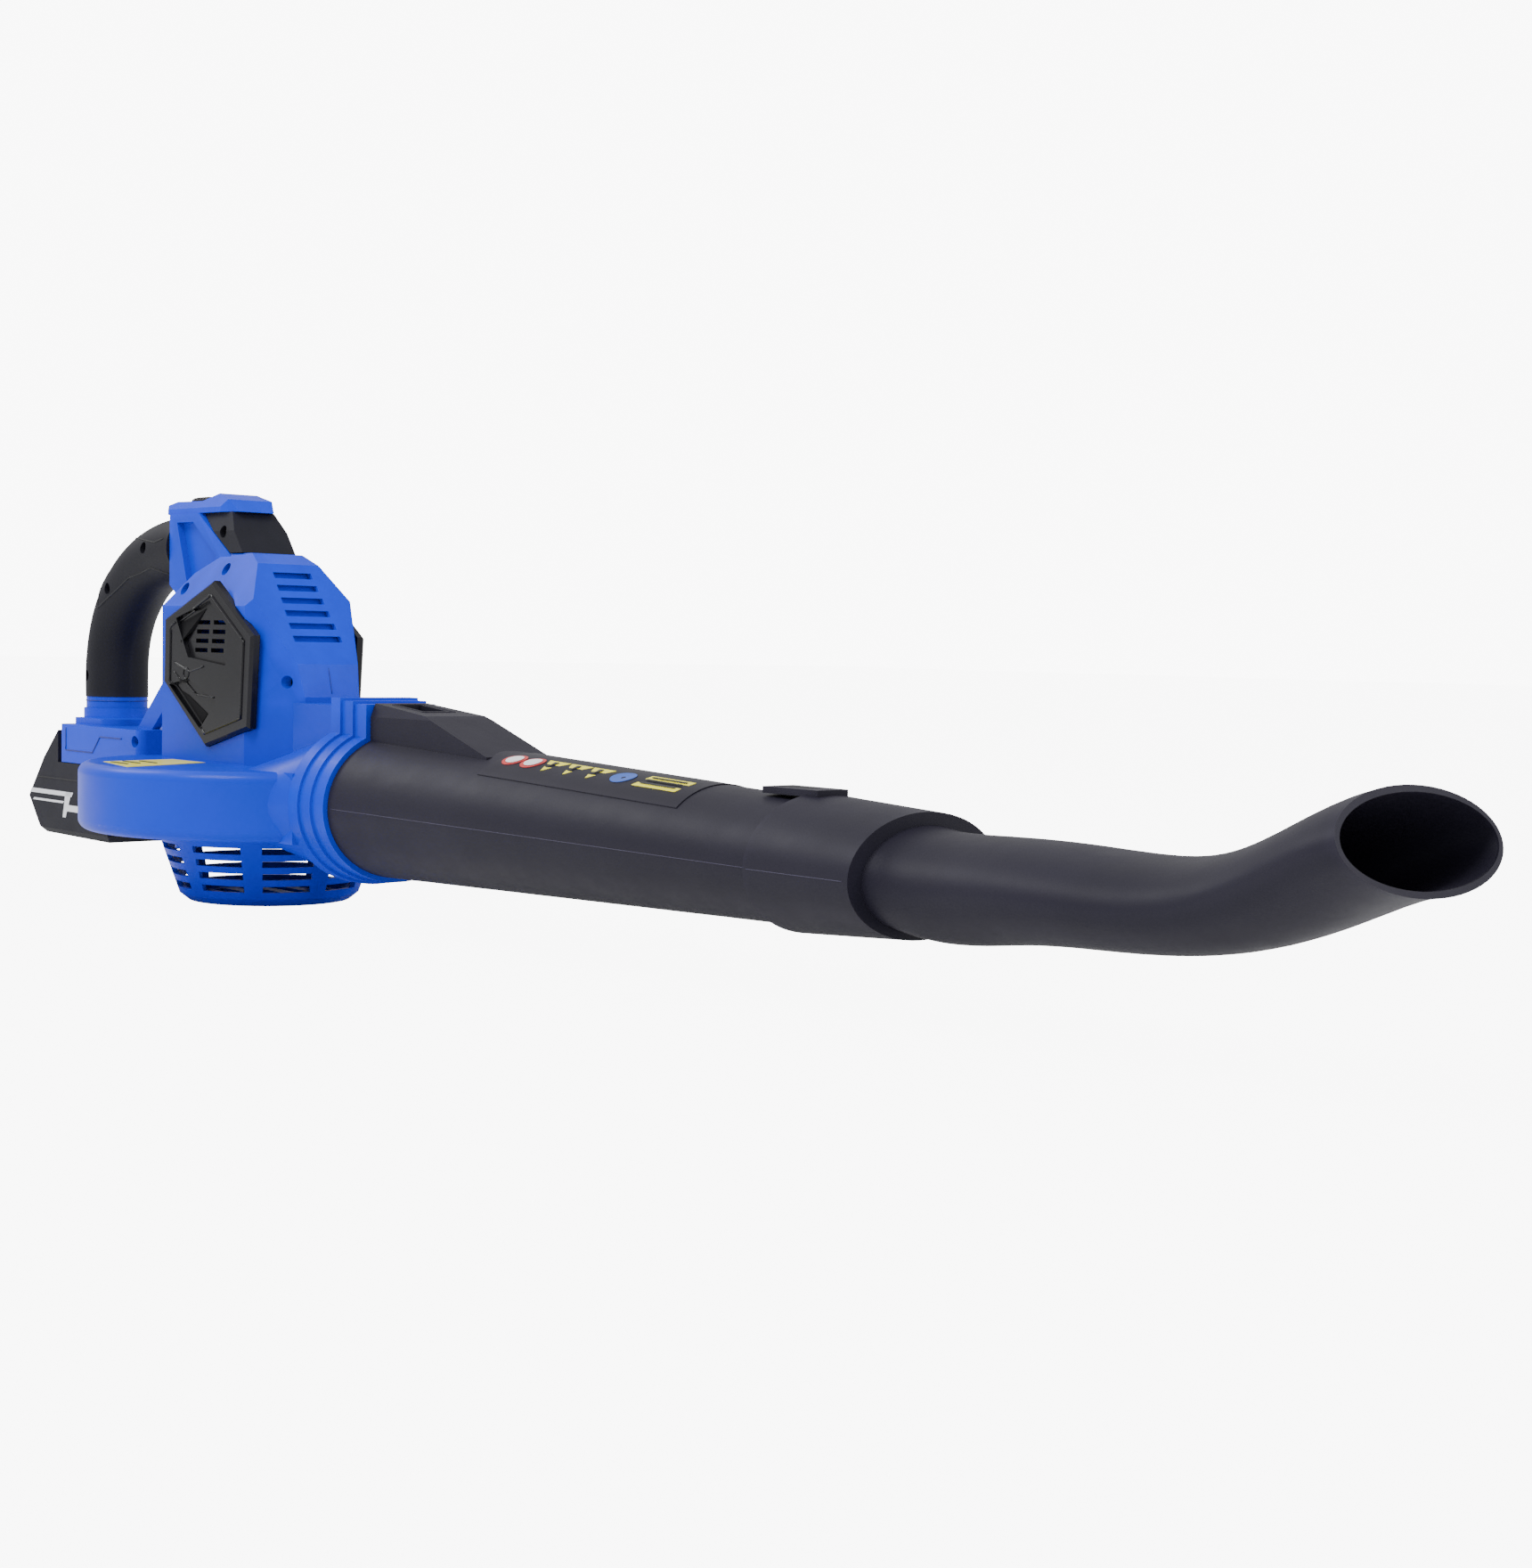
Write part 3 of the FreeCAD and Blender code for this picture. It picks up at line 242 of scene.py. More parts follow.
class Mat:
    """One procedural material on a Principled shader."""

    def __init__(self, name, rough, metallic=0.0, coat=0.0, specular=0.5):
        self.mat = bpy.data.materials.new(name)
        self.mat.use_nodes = True
        self.tree = self.mat.node_tree
        self.bsdf = self.tree.nodes["Principled BSDF"]
        self.bsdf.inputs["Metallic"].default_value = metallic
        self.bsdf.inputs["Roughness"].default_value = rough
        self.bsdf.inputs["Coat Weight"].default_value = coat
        self.bsdf.inputs["Specular IOR Level"].default_value = specular
        self.coord = self.node("ShaderNodeTexCoord").outputs["Object"]

    def node(self, kind, settings=None, inputs=None):
        node = self.tree.nodes.new(kind)
        for key, value in (settings or {}).items():
            setattr(node, key, value)
        for key, value in (inputs or {}).items():
            if isinstance(value, Sock):
                self.tree.links.new(value.out, node.inputs[key])
            elif isinstance(value, bpy.types.NodeSocket):
                self.tree.links.new(value, node.inputs[key])
            else:
                node.inputs[key].default_value = value
        return node

    def noise(self, scale, detail=3.0, stretch=(1, 1, 1)):
        mapping = self.node("ShaderNodeMapping", None, {"Vector": self.coord, "Scale": stretch})
        node = self.node("ShaderNodeTexNoise", None,
                         {"Vector": mapping.outputs[0], "Scale": scale, "Detail": detail})
        return Sock(self.tree, node.outputs["Fac"])

    def cells(self, scale):
        node = self.node("ShaderNodeTexVoronoi", None, {"Vector": self.coord, "Scale": scale})
        return Sock(self.tree, node.outputs["Distance"])

    def edges(self):
        geo = self.node("ShaderNodeNewGeometry")
        return Sock(self.tree, geo.outputs["Pointiness"]).band(0.515, 0.60)

    def axis(self, name):
        node = self.node("ShaderNodeSeparateXYZ", None, {0: self.coord})
        return Sock(self.tree, node.outputs[name])

    def mix(self, factor, a, b):
        node = self.node("ShaderNodeMix", {"data_type": "RGBA"})
        self.tree.links.new(factor.out, node.inputs[0])
        for i, c in ((6, a), (7, b)):
            if isinstance(c, Sock):
                self.tree.links.new(c.out, node.inputs[i])
            else:
                node.inputs[i].default_value = (*c, 1.0)
        return Sock(self.tree, node.outputs[2])

    def colour(self, sock):
        self.tree.links.new(sock.out, self.bsdf.inputs["Base Color"])
        return self

    def rough(self, sock):
        self.tree.links.new(sock.out, self.bsdf.inputs["Roughness"])
        return self

    def glow(self, share):
        # A share of plain white shows to the camera only, so that it lights nothing.
        lamp = self.node("ShaderNodeEmission", None, {"Color": (1, 1, 1, 1), "Strength": WHITE})
        ray = Sock(self.tree, self.node("ShaderNodeLightPath").outputs["Is Camera Ray"])
        blend = self.node("ShaderNodeMixShader", None, {"Fac": ray * share})
        self.tree.links.new(self.bsdf.outputs[0], blend.inputs[1])
        self.tree.links.new(lamp.outputs[0], blend.inputs[2])
        out = self.tree.nodes["Material Output"]
        self.tree.links.new(blend.outputs[0], out.inputs["Surface"])

    def bump(self, sock, height, strength=0.5):
        node = self.node("ShaderNodeBump", None,
                         {"Height": sock, "Distance": height, "Strength": strength})
        self.tree.links.new(node.outputs["Normal"], self.bsdf.inputs["Normal"])
        return self


def scaled(colour, k):
    return tuple(min(1.0, c * k) for c in colour)


def plastic(name, colour, rough, grain, depth, coat=0.0, wear=1.6, specular=0.5):
    # Moulded plastic: slow tone drift, fine spark-eroded grain, lighter worn edges, faint dust.
    m = Mat(name, rough, coat=coat, specular=specular)
    drift = m.noise(14.0, 2.0).band(0.35, 0.7)
    base = m.mix(drift, scaled(colour, 0.93), scaled(colour, 1.07))
    worn = m.mix(m.edges() * m.noise(90.0) * 0.9, base, scaled(colour, wear))
    dust = m.noise(420.0, 4.0).band(0.7, 0.88) * 0.012
    m.colour(m.mix(dust, worn, (0.5, 0.5, 0.52)))
    m.rough(m.noise(60.0, 4.0) * 0.12 + (rough - 0.06))
    m.bump(m.cells(grain) * 0.6 + m.noise(grain * 0.7, 2.0) * 0.4, depth, 0.35)
    return m.mat


def metal(name, colour, rough, stretch=(1, 1, 12)):
    m = Mat(name, rough, metallic=1.0)
    grain = m.noise(260.0, 4.0, stretch)
    m.colour(m.mix(grain, scaled(colour, 0.8), scaled(colour, 1.1)))
    m.rough(grain * 0.18 + (rough - 0.08))
    m.bump(grain, 0.00004, 0.3)
    return m.mat


def striped(name, a, b, axis, pitch, rough):
    m = Mat(name, rough, coat=0.2)
    wave = (m.axis(axis) / pitch).math("FRACT").over(0.5)
    soft = m.noise(180.0) * 0.2
    m.colour(m.mix(wave * (1.0 - soft), a, b))
    m.rough(m.noise(120.0) * 0.15 + rough)
    m.bump(wave, 0.0001, 0.4)
    return m.mat


MATERIALS = {}


def moulded_finishes():
    # Colour and finish of each moulded, printed or pressed surface, with painted shade for the
    # side cover recesses and a painted highlight for the tube's mould lines.
    s = cfg()
    blue, dark, grip, gloss = (tuple(c) for c in (s.blue, s.dark, s.grip, s.gloss))
    printed = dict(rough=0.45, grain=1200.0, depth=0.00002)
    glossy_print = dict(printed, rough=0.4, wear=1.1)
    return {
        "blue_plastic": (blue, dict(rough=0.36, grain=1500.0, depth=0.00005, coat=0.03,
                                    wear=1.35, specular=0.15)),
        "black_plastic": (grip, dict(rough=0.60, grain=1300.0, depth=0.00012, wear=1.9,
                                     specular=0.22)),
        "tube_plastic": (dark, dict(rough=0.50, grain=1700.0, depth=0.0001, wear=1.4,
                                    specular=0.15)),
        "cover_plastic": (gloss, dict(rough=0.24, grain=900.0, depth=0.00003, coat=0.04,
                                      wear=2.0, specular=0.2)),
        "magnet": ((0.05, 0.05, 0.055), dict(rough=0.7, grain=700.0, depth=0.0002)),
        "carbon": ((0.02, 0.02, 0.02), dict(rough=0.75, grain=900.0, depth=0.0002)),
        "label_yellow": (tuple(s.yellow), dict(rough=0.4, grain=900.0, depth=0.00002, coat=0.2,
                                               wear=1.1)),
        "label_dark": (scaled(dark, 0.9), dict(rough=0.45, grain=900.0, depth=0.00002, wear=1.2,
                                               specular=0.14)),
        "white_print": ((0.75, 0.76, 0.8), dict(printed, wear=1.1)),
        "ink": ((0.01, 0.01, 0.012), printed),
        "print_red": ((0.55, 0.02, 0.02), glossy_print),
        "print_blue": ((0.02, 0.09, 0.45), glossy_print),
        # Painted highlight: the mould lines three times lighter than the tube plastic.
        "seam_painted_highlight": (scaled(dark, 3.0), dict(rough=0.5, grain=1200.0, depth=0.00003, wear=1.1,
                                              specular=0.2)),
        # Painted shade: near-black, darker than the cover plastic, laid in the side cover
        # recesses.
        "painted_recess_shade": ((0.002, 0.002, 0.003), dict(rough=0.6, grain=1200.0, depth=0.00003, wear=1.2,
                                               specular=0.1)),
        "seam": ((0.006, 0.006, 0.008), dict(rough=0.7, grain=1200.0, depth=0.00003)),
        "seam_blue": (scaled(blue, 0.35), dict(rough=0.55, grain=1200.0, depth=0.00003)),
    }


def materials():
    for name, (colour, finish) in moulded_finishes().items():
        MATERIALS[name] = plastic(name, colour, **finish)
    MATERIALS["steel"] = metal("steel", (0.56, 0.57, 0.6), 0.32)
    MATERIALS["black_steel"] = metal("black_steel", (0.05, 0.05, 0.055), 0.42)
    MATERIALS["copper"] = metal("copper", (0.78, 0.36, 0.16), 0.34, stretch=(1, 1, 4))
    MATERIALS["board_green"] = striped("board_green", (0.01, 0.12, 0.04), (0.02, 0.2, 0.06),
                                       axis="X", pitch=0.0045, rough=0.35)
    MATERIALS["cell_wrap"] = striped("cell_wrap", (0.02, 0.25, 0.18), (0.03, 0.32, 0.24),
                                     axis="Y", pitch=0.032, rough=0.3)


# ---- mesh helpers -----------------------------------------------------------------------
def new_piece(name, bm, body, mat, smooth=True):
    bmesh.ops.recalc_face_normals(bm, faces=bm.faces)
    mesh = bpy.data.meshes.new(name)
    bm.to_mesh(mesh)
    bm.free()
    for poly in mesh.polygons:
        poly.use_smooth = smooth
    mesh.materials.append(MATERIALS[mat])
    piece = bpy.data.objects.new(name, mesh)
    bpy.context.scene.collection.objects.link(piece)
    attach(piece, body)
    return piece


def surface_of(*nodes):
    verts, faces = [], []
    for node in nodes:
        mesh = frame["nodes"][node].data
        at = len(verts)
        verts += [v.co.copy() for v in mesh.vertices]
        faces += [[at + i for i in p.vertices] for p in mesh.polygons]
    return BVHTree.FromPolygons(verts, faces)


def cast(tree, point, direction):
    hit, normal, _, _ = tree.ray_cast(Vector(point), Vector(direction))
    return (hit, normal) if hit else None


def cast_down(tree, x, y):
    return cast(tree, (x * MM, y * MM, FAR), (0, 0, -1))


def cast_in(tree, x, z, side):
    return cast(tree, (x * MM, side * FAR, z * MM), (0, -side, 0))


def draw_line(bm, path, radius):
    # A thin round bead along the points.
    sides = LINE_SIDES
    rings = []
    for i, p in enumerate(path):
        ahead = path[min(i + 1, len(path) - 1)] - path[max(i - 1, 0)]
        side = ahead.normalized().orthogonal().normalized()
        up = ahead.normalized().cross(side)
        ring = [bm.verts.new(p + radius * (math.cos(a) * side + math.sin(a) * up))
                for a in (2 * math.pi * k / sides for k in range(sides))]
        if rings:
            # Line the ring up with the one before so that the bead does not twist.
            start = min(range(sides), key=lambda k: (ring[k].co - rings[-1][0].co).length)
            ring = ring[start:] + ring[:start]
            if (ring[1].co - rings[-1][1].co).length > (ring[-1].co - rings[-1][1].co).length:
                ring = [ring[0]] + ring[:0:-1]
        rings.append(ring)
    for a, b in zip(rings, rings[1:]):
        for k in range(sides):
            bm.faces.new((a[k], a[(k + 1) % sides], b[(k + 1) % sides], b[k]))
    bm.faces.new(rings[0])
    bm.faces.new(rings[-1])


def between(points, step):
    out = []
    for a, b in zip(points, points[1:]):
        n = max(1, int((Vector(b) - Vector(a)).length / step))
        out += [Vector(a).lerp(Vector(b), i / n) for i in range(n)]
    return out + [Vector(points[-1])]


def side_lines(name, node, paths, side, body, mat, radius):
    # Beads along paths given in X and Z millimetres, laid on the flank of a node.
    tree = surface_of(node)
    bm = bmesh.new()
    for path in paths:
        steps = between([(x * MM, 0, z * MM) for x, z in path], LINE_STEP)
        hits = [cast(tree, (p.x, side * FAR, p.z), (0, -side, 0)) for p in steps]
        points = [hit[0] for hit in hits if hit]
        if len(points) > 1:
            draw_line(bm, points, radius)
    return new_piece(name, bm, body, mat)


def print_slab(bm, points, low, high):
    # Thin slab over the points, from one offset to the other.
    loops = [[bm.verts.new(p + offset) for p in points] for offset in (low, high)]
    n = len(points)
    for i in range(n):
        j = (i + 1) % n
        bm.faces.new((loops[0][i], loops[0][j], loops[1][j], loops[1][i]))
    bm.faces.new(loops[1])
    bm.faces.new(loops[0][::-1])


def patch_on_top(name, node, outlines, body, mat, lift=PRINT_LIFT, thick=PRINT_THICK):
    # Flat shapes given in X and Y millimetres, laid down on a node from above.
    tree = surface_of(node)
    bm = bmesh.new()
    for outline in outlines:
        points = [cast_down(tree, x, y)[0] for x, y in outline]
        print_slab(bm, points, Vector((0, 0, lift)), Vector((0, 0, lift + thick)))
    bmesh.ops.triangulate(bm, faces=[f for f in bm.faces if len(f.verts) > 4])
    return new_piece(name, bm, body, mat, smooth=False)


def patch_on_side(name, node, outlines, side, body, mat):
    # Flat shapes given in X and Z millimetres, laid on the flank of a node.
    tree = surface_of(node)
    bm = bmesh.new()
    low, high = (Vector((0, side * k, 0)) for k in SIDE_PRINT)
    for outline in outlines:
        points = [cast_in(tree, x, z, side)[0] for x, z in outline]
        print_slab(bm, points, low, high)
    return new_piece(name, bm, body, mat, smooth=False)


# ---- geometry nodes ---------------------------------------------------------------------
def scatter_group(name, mat):
    """Instances a small block on every point, its height along the point's "out" vector."""
    tree = bpy.data.node_groups.new(name, "GeometryNodeTree")
    face = tree.interface
    face.new_socket("Geometry", in_out="INPUT", socket_type="NodeSocketGeometry")
    for label, default in (("Length", 0.002), ("Width", 0.002), ("Height", 0.0005)):
        sock = face.new_socket(label, in_out="INPUT", socket_type="NodeSocketFloat")
        sock.default_value = default
    face.new_socket("Geometry", in_out="OUTPUT", socket_type="NodeSocketGeometry")
    add = tree.nodes.new
    group_in = add("NodeGroupInput")
    group_out = add("NodeGroupOutput")
    size = add("ShaderNodeCombineXYZ")
    block = add("GeometryNodeMeshCube")
    place = add("GeometryNodeInstanceOnPoints")
    out = add("GeometryNodeInputNamedAttribute")
    out.data_type = "FLOAT_VECTOR"
    out.inputs["Name"].default_value = "out"
    align = add("FunctionNodeAlignRotationToVector")
    align.axis = "Z"
    align.pivot_axis = "Y"
    real = add("GeometryNodeRealizeInstances")
    paint = add("GeometryNodeSetMaterial")
    paint.inputs["Material"].default_value = mat
    link = tree.links.new
    for label, key in (("Length", "X"), ("Width", "Y"), ("Height", "Z")):
        link(group_in.outputs[label], size.inputs[key])
    link(size.outputs[0], block.inputs["Size"])
    link(group_in.outputs["Geometry"], place.inputs["Points"])
    link(block.outputs["Mesh"], place.inputs["Instance"])
    link(out.outputs["Attribute"], align.inputs["Vector"])
    link(align.outputs[0], place.inputs["Rotation"])
    link(place.outputs[0], real.inputs[0])
    link(real.outputs[0], paint.inputs["Geometry"])
    link(paint.outputs[0], group_out.inputs[0])
    return tree


def scatter(name, hits, size, body, mat):
    # One block of the given length, width and height at each (point, normal).
    mesh = bpy.data.meshes.new(name + "_points")
    mesh.from_pydata([tuple(point) for point, _ in hits], [], [])
    attr = mesh.attributes.new("out", "FLOAT_VECTOR", "POINT")
    for i, (_, normal) in enumerate(hits):
        attr.data[i].vector = normal
    carrier = bpy.data.objects.new(name + "_carrier", mesh)
    bpy.context.scene.collection.objects.link(carrier)
    tree = scatter_group(name + "_nodes", MATERIALS[mat])
    mod = carrier.modifiers.new("scatter", "NODES")
    mod.node_group = tree
    keys = {s.name: s.identifier for s in tree.interface.items_tree if s.in_out == "INPUT"}
    for label, value in zip(("Length", "Width", "Height"), size):
        mod[keys[label]] = value
    deps = bpy.context.evaluated_depsgraph_get()
    blocks = bpy.data.meshes.new_from_object(carrier.evaluated_get(deps))
    bpy.data.objects.remove(carrier)
    piece = bpy.data.objects.new(name, blocks)
    bpy.context.scene.collection.objects.link(piece)
    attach(piece, body)
    return piece


# ---- pieces -----------------------------------------------------------------------------
BEVELLED = {"blue_plastic", "black_plastic", "tube_plastic", "cover_plastic"}
UNBEVELLED_NODES = {"fan", "switch_body", "cell_holders"}
BEVEL_ANGLE = math.radians(38)


def dress_frame():
    slots = {p["node"]: p["material_slot"] for p in frame["record"]["subparts"]}
    for node, piece in frame["nodes"].items():
        slot = slots[node]
        piece.data.materials.clear()
        piece.data.materials.append(MATERIALS[slot])
        if slot in BEVELLED and node not in UNBEVELLED_NODES:
            bevel = piece.modifiers.new("edges", "BEVEL")
            bevel.width = cfg().bevel
            bevel.segments = 2
            bevel.limit_method = "ANGLE"
            bevel.angle_limit = BEVEL_ANGLE
            bevel.use_clamp_overlap = True
            bevel.harden_normals = False


def arc(x, z, r, steps):
    # Points round a circle, without the first one again.
    return [(x + r * math.cos(a), z + r * math.sin(a))
            for a in (2 * math.pi * k / steps for k in range(steps))]


def disc(x, r, stretch):
    # Outline of a round print on the sticker, longer along X.
    return [(x + (px - x) * stretch, y) for px, y in arc(x, STICKER_Y, r, 20)]


def grip_grooves():
    for side, name in SIDES:
        side_lines("grip_groove_" + name, "grip_" + name, GRIP_GROOVES, side, "body", "seam",
                   cfg().groove)


def knob_ribs():
    low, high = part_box("switch_knob")
    tree = surface_of("switch_knob")
    pitch = (high[0] - low[0]) / (KNOB_RIBS + 1.0)
    hits = [cast(tree, (low[0] + pitch * (k + 1.0), 0, FAR), (0, 0, -1))
            for k in range(KNOB_RIBS)]
    scatter("knob_ribs", [h for h in hits if h], KNOB_RIB, "knob", "black_plastic")


def drum_label_marks():
    bars = []
    for row, x in enumerate((-24, -28, -26)):
        y = -86 + 9 * row
        bars.append([(x, y), (x + 22, y - 1.5), (x + 22, y), (x, y + 1.5)])
    patch_on_top("drum_label_bars", "drum_label", bars, "body", "ink")


def sticker(name, outlines, mat, lift=PRINT_LIFT):
    patch_on_top("sticker_" + name, "tube_label", outlines, "blow_tube", mat, lift)


def sticker_marks():
    # Blank discs, triangles and a panel of lines, in a row along the tube.
    sticker("red", [disc(x, 6.2, DISC_STRETCH) for x in DISC_X], "print_red")
    sticker("white", [disc(x, 4.4, DISC_STRETCH) for x in DISC_X], "white_print", TOP_PRINT_LIFT)
    signs = [[(x - 8, -9.5), (x + 8, -9.5), (x, -21.5)] for x in SIGN_X]
    signs.append([(350, -8.5), (380, -8.5), (380, -21), (350, -21)])
    sticker("yellow", signs, "label_yellow")
    marks = [[(x - 1.6, -11.5), (x + 1.6, -11.5), (x, -18)] for x in SIGN_X]
    marks += [[(353, y), (377, y), (377, y - 1), (353, y - 1)] for y in (-10.5, -14, -17.5)]
    sticker("ink", marks, "ink", TOP_PRINT_LIFT)
    sticker("blue", [disc(NOTE_X, 6.0, NOTE_STRETCH)], "print_blue")


def tube_seams():
    for side, name in SIDES:
        # The mould lines are pale beads, a painted highlight along each line.
        side_lines("tube_seam_" + name, "rear_tube", [TUBE_SEAM], side, "blow_tube",
                   "seam_painted_highlight", cfg().hairline)
        side_lines("nozzle_seam_" + name, "nozzle", [SLEEVE_SEAM], side, "spout",
                   "seam_painted_highlight", cfg().hairline)
    patch_on_top("tongue_slot", "nozzle", [TONGUE_SLOT], "spout", "seam",
                 lift=0.0, thick=0.0001)


def lock_rim():
    tree = surface_of("rear_tube")
    path = [cast_down(tree, x, y)[0] for x, y in LOCK_RIM]
    bm = bmesh.new()
    draw_line(bm, between(path, 0.003), cfg().seam)
    new_piece("lock_rim", bm, "blow_tube", "tube_plastic")


def lock_spring():
    # Coil under the lock button, filling the latch spring's box.
    low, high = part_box("latch_spring")
    middle = (low + high) / 2
    radius = (high.x - low.x) / 2 - SPRING_WIRE
    rise = high.z - low.z - 2 * SPRING_WIRE
    steps = SPRING_TURNS * SPRING_STEPS
    path = []
    for k in range(steps + 1):
        a = 2 * math.pi * k / SPRING_STEPS
        path.append(Vector((middle.x + radius * math.cos(a), middle.y + radius * math.sin(a),
                            low.z + SPRING_WIRE + rise * k / steps)))
    bm = bmesh.new()
    draw_line(bm, path, SPRING_WIRE)
    spring = new_piece("lock_spring", bm, "blow_tube", "steel")
    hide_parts("latch_spring")
    bpy.context.view_layer.update()
    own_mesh(spring)


def pack_marks():
    for side, name in SIDES:
        patch_on_side("pack_graphic_" + name, "pack_lower", PACK_GRAPHIC, side, "pack",
                      "white_print")
        side_lines("pack_seam_" + name, "pack_lower", [PACK_SEAM], side, "pack", "seam",
                   cfg().seam)


def shoe_grooves():
    for side, name in SIDES:
        side_lines("shoe_groove_" + name, "housing_" + name, [SHOE_GROOVE], side, "body",
                   "seam_blue", cfg().groove)


def cover_faces():
    # Inner rim, near-black slabs of painted shade in the recesses, ridges and the moulding
    # dimple of both side covers.
    dimple = arc(*COVER_DIMPLE, 16)
    dimple.append(dimple[0])
    for side, name in SIDES:
        cover = "side_cover_" + name
        for kind, paths, radius in (("rim", [COVER_RIM], cfg().rim),
                                    ("ridges", COVER_RIDGES, cfg().ridge),
                                    ("dimple", [dimple], cfg().groove)):
            side_lines("cover_" + kind + "_" + name, cover, paths, side, "body",
                       "cover_plastic", radius)
        # The recesses get a near-black slab of painted shade, darker than the cover itself.
        patch_on_side("cover_shade_" + name, cover, COVER_SHADES, side, "body", "painted_recess_shade")


def vent_baffle():
    bm = bmesh.new()
    (a, b), (d, c) = [[bm.verts.new((x * MM, y * MM, z * MM))
                       for y in (-BAFFLE_HALF, BAFFLE_HALF)] for x, z in BAFFLE_EDGES]
    bm.faces.new((a, b, c, d))
    back = bmesh.ops.extrude_face_region(bm, geom=list(bm.faces))
    moved = [g for g in back["geom"] if isinstance(g, bmesh.types.BMVert)]
    x, z = BAFFLE_THICK
    bmesh.ops.translate(bm, verts=moved, vec=(x * MM, 0, z * MM))
    new_piece("vent_baffle", bm, "body", "blue_plastic", smooth=False)


def front_seam():
    # The line where the two shells meet, low on the front face.
    tree = surface_of("housing_right", "housing_left")
    hits = [cast(tree, (FAR, 0.0001, z * MM), (-1, 0, 0)) for z in FRONT_SEAM_Z]
    bm = bmesh.new()
    draw_line(bm, [hit[0] for hit in hits if hit], FRONT_SEAM)
    new_piece("front_seam", bm, "body", "seam_blue")


def ring_seams():
    low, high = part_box("neck_ring")
    middle = (low.x + high.x) / 2 / MM
    bm = bmesh.new()
    for z in RING_SEAM_Z:
        loop = arc(middle, 0, RING_SEAM_R, 48)
        loop.append(loop[0])
        draw_line(bm, [Vector((x * MM, y * MM, z * MM)) for x, y in loop], cfg().seam)
    new_piece("ring_seams", bm, "body", "seam_blue")


# ---- studio -----------------------------------------------------------------------------
def area_light(name, place, target, size, power):
    light = bpy.data.lights.new(name, "AREA")
    light.shape = "RECTANGLE"
    light.size = size
    light.size_y = size
    light.energy = power
    lamp = bpy.data.objects.new(name, light)
    lamp.location = place
    lamp.rotation_euler = (Vector(target) - Vector(place)).to_track_quat("-Z", "Y").to_euler()
    bpy.context.scene.collection.objects.link(lamp)


def floor():
    m = Mat("pale_floor", 0.8, specular=0.1)
    m.colour(m.mix(m.noise(3.0), (0.93, 0.93, 0.93), (0.96, 0.96, 0.96)))
    m.glow(FLOOR_GLOW)
    bm = bmesh.new()
    bmesh.ops.create_grid(bm, x_segments=2, y_segments=2, size=FLOOR_SIZE)
    mesh = bpy.data.meshes.new("floor")
    bm.to_mesh(mesh)
    bm.free()
    mesh.materials.append(m.mat)
    plane = bpy.data.objects.new("floor", mesh)
    plane.location.z = -FLOOR_DROP
    bpy.context.scene.collection.objects.link(plane)


def sky():
    # Even white light, with a brighter white behind the blower.
    world = bpy.data.worlds.new("studio")
    world.use_nodes = True
    tree = world.node_tree
    back = tree.nodes["Background"]
    back.inputs["Color"].default_value = (1, 1, 1, 1)
    ray = Sock(tree, tree.nodes.new("ShaderNodeLightPath").outputs["Is Camera Ray"])
    strength = ray * (WHITE * FLOOR_GLOW) + WORLD_LIGHT
    tree.links.new(strength.out, back.inputs["Strength"])
    bpy.context.scene.world = world


def camera():
    level = math.cos(CAMERA_PITCH)
    look = Vector((-math.cos(CAMERA_YAW) * level, math.sin(CAMERA_YAW) * level,
                   -math.sin(CAMERA_PITCH)))
    right = look.cross(Vector((0, 0, 1))).normalized()
    up = right.cross(look)
    tip, lean = math.cos(CAMERA_ROLL), math.sin(CAMERA_ROLL)
    right, up = tip * right + lean * up, tip * up - lean * right
    data = bpy.data.cameras.new("camera")
    data.lens = cfg().lens
    data.sensor_width = SENSOR
    data.clip_start = 0.01
    cam = bpy.data.objects.new("camera", data)
    turn = Matrix((right, up, -look)).transposed().to_4x4()
    cam.matrix_world = Matrix.Translation(CAMERA_PLACE) @ turn
    bpy.context.scene.collection.objects.link(cam)
    bpy.context.scene.camera = cam


# ---- operators and panel ----------------------------------------------------------------
class BLOWER_OT_surfaces(bpy.types.Operator):
    """Make the materials and put them on the frame's nodes."""
    bl_idname = "blower.surfaces"
    bl_label = "Surfaces"

    def execute(self, context):
        materials()
        dress_frame()
        return {"FINISHED"}


class BLOWER_OT_grip(bpy.types.Operator):
    """Add the grooves of the grip's moulded pad."""
    bl_idname = "blower.grip"
    bl_label = "Grip grooves"

    def execute(self, context):
        grip_grooves()
        return {"FINISHED"}


class BLOWER_OT_knob(bpy.types.Operator):
    """Add the ribs on the switch knob."""
    bl_idname = "blower.knob"
    bl_label = "Knob ribs"

    def execute(self, context):
        knob_ribs()
        return {"FINISHED"}


class BLOWER_OT_labels(bpy.types.Operator):
    """Add the blank marks on the drum label and the tube sticker."""
    bl_idname = "blower.labels"
    bl_label = "Label marks"

    def execute(self, context):
        drum_label_marks()
        sticker_marks()
        return {"FINISHED"}


class BLOWER_OT_tube(bpy.types.Operator):
    """Add the mould seams with their painted highlight, the tongue slot and the lock rim."""
    bl_idname = "blower.tube"
    bl_label = "Tube detail"

    def execute(self, context):
        tube_seams()
        lock_rim()
        return {"FINISHED"}


class BLOWER_OT_spring(bpy.types.Operator):
    """Add the spring under the tube's lock button."""
    bl_idname = "blower.spring"
    bl_label = "Lock spring"

    def execute(self, context):
        lock_spring()
        return {"FINISHED"}


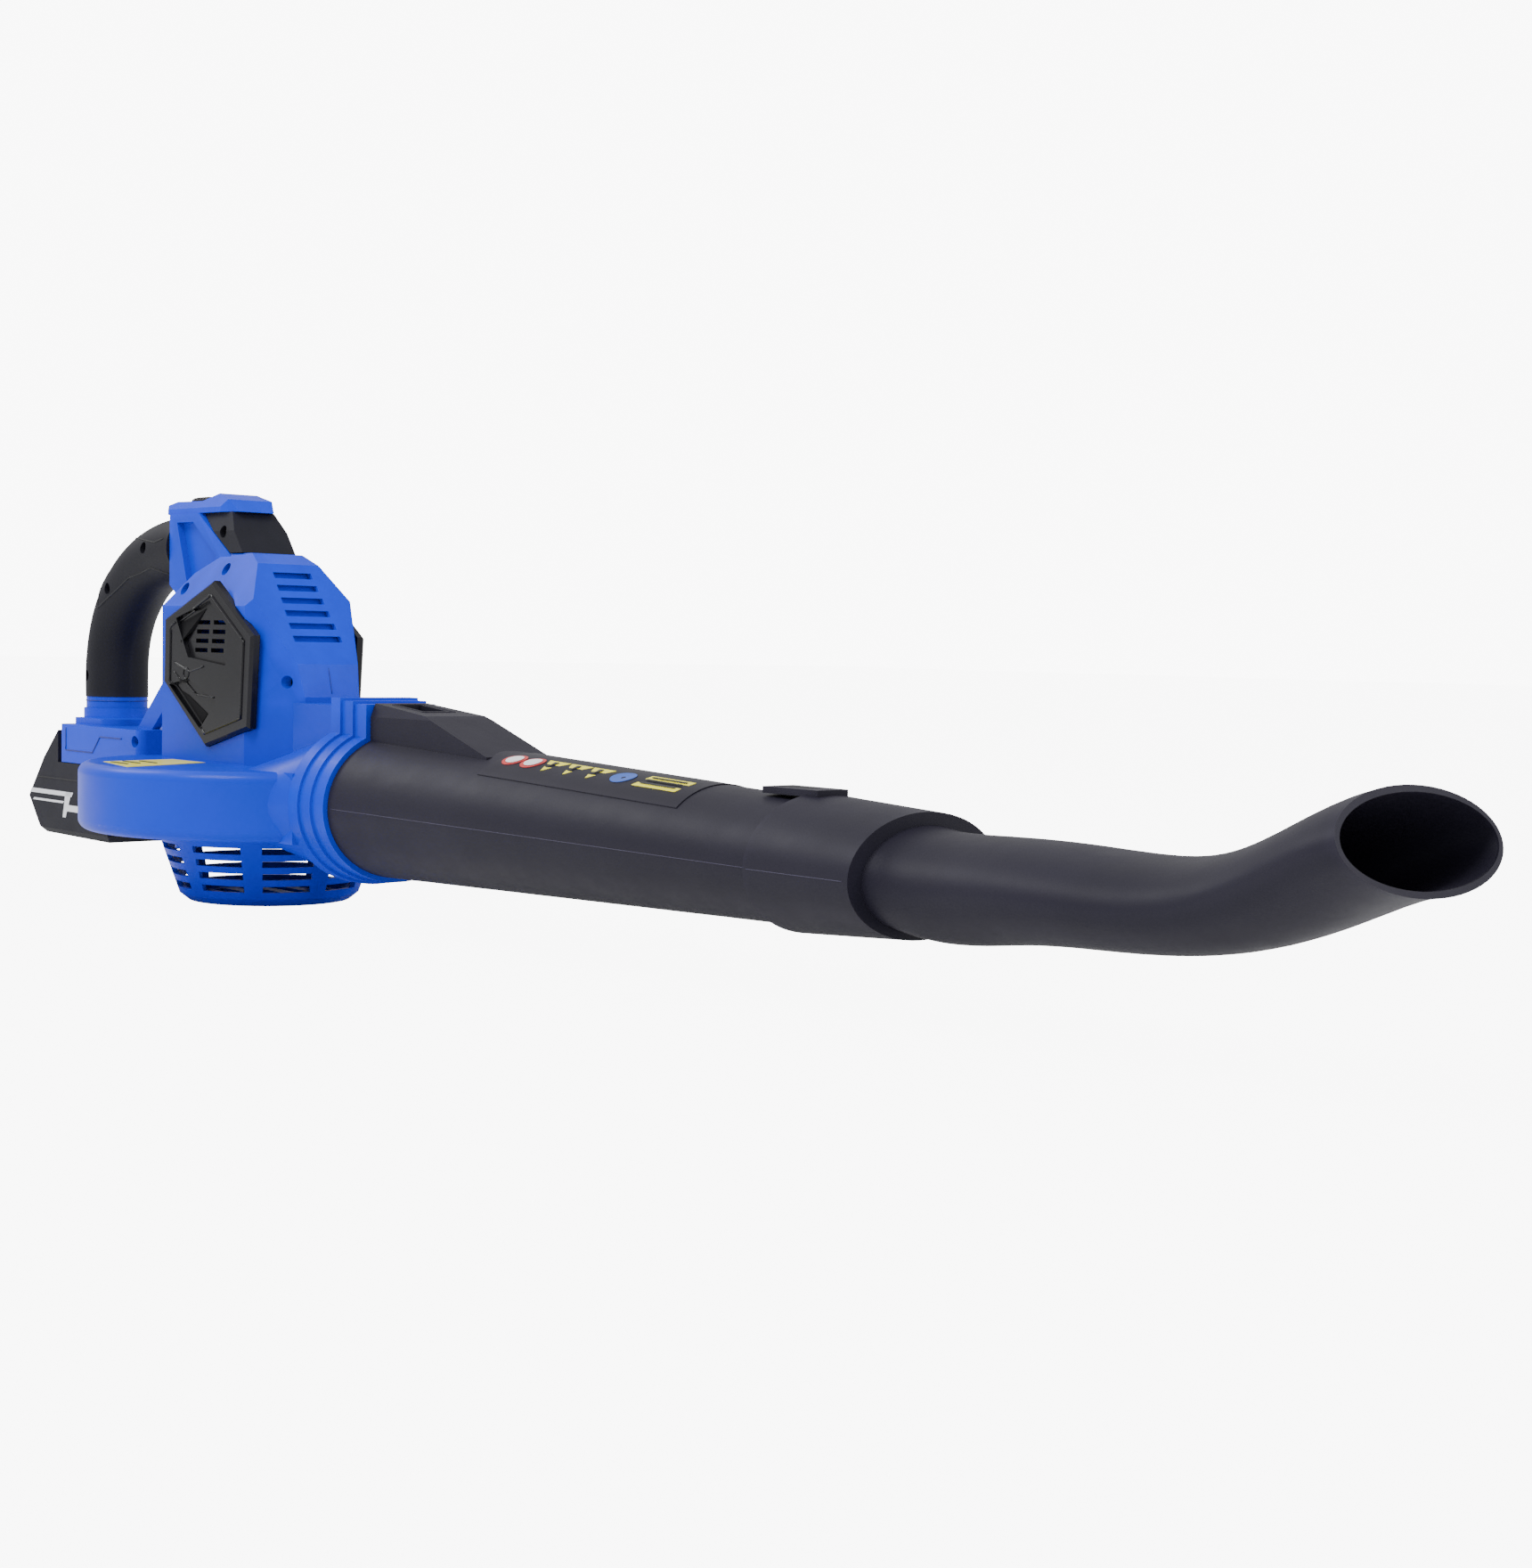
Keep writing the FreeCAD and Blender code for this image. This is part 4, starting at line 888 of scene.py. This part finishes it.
class BLOWER_OT_pack(bpy.types.Operator):
    """Add the pack's seam and white graphics."""
    bl_idname = "blower.pack"
    bl_label = "Pack detail"

    def execute(self, context):
        pack_marks()
        return {"FINISHED"}


class BLOWER_OT_housing(bpy.types.Operator):
    """Add the shoe grooves, the vent baffle and the housing's seams."""
    bl_idname = "blower.housing"
    bl_label = "Housing detail"

    def execute(self, context):
        shoe_grooves()
        vent_baffle()
        front_seam()
        ring_seams()
        return {"FINISHED"}


class BLOWER_OT_covers(bpy.types.Operator):
    """Add the rim, the painted shade in the recesses, the ridges and the dimple of the side
    covers.
    """
    bl_idname = "blower.covers"
    bl_label = "Side cover detail"

    def execute(self, context):
        cover_faces()
        return {"FINISHED"}


class BLOWER_OT_stage(bpy.types.Operator):
    """Set up floor, light and camera."""
    bl_idname = "blower.stage"
    bl_label = "Studio"

    def execute(self, context):
        floor()
        sky()
        for lamp in LAMPS:
            area_light(*lamp)
        camera()
        return {"FINISHED"}


STEPS = (BLOWER_OT_surfaces, BLOWER_OT_grip, BLOWER_OT_knob, BLOWER_OT_labels, BLOWER_OT_tube,
         BLOWER_OT_spring, BLOWER_OT_pack, BLOWER_OT_housing, BLOWER_OT_covers, BLOWER_OT_stage)


class BLOWER_PT_panel(bpy.types.Panel):
    """Lists the steps in the sidebar."""
    bl_label = "Leaf blower"
    bl_idname = "BLOWER_PT_panel"
    bl_space_type = "VIEW_3D"
    bl_region_type = "UI"
    bl_category = "Blower"

    def draw(self, context):
        for step in STEPS:
            self.layout.operator(step.bl_idname)
        for key in BLOWER_PG_settings.__annotations__:
            self.layout.prop(context.scene.blower, key)


CLASSES = (BLOWER_PG_settings,) + STEPS + (BLOWER_PT_panel,)


def register():
    for cls in CLASSES:
        bpy.utils.register_class(cls)
    bpy.types.Scene.blower = bpy.props.PointerProperty(type=BLOWER_PG_settings)


def unregister():
    del bpy.types.Scene.blower
    for cls in reversed(CLASSES):
        bpy.utils.unregister_class(cls)


def main():
    register()
    for step in STEPS:
        group, name = step.bl_idname.split(".")
        if getattr(getattr(bpy.ops, group), name)() != {"FINISHED"}:
            raise RuntimeError(step.bl_idname)


if __name__ == "__main__":
    main()
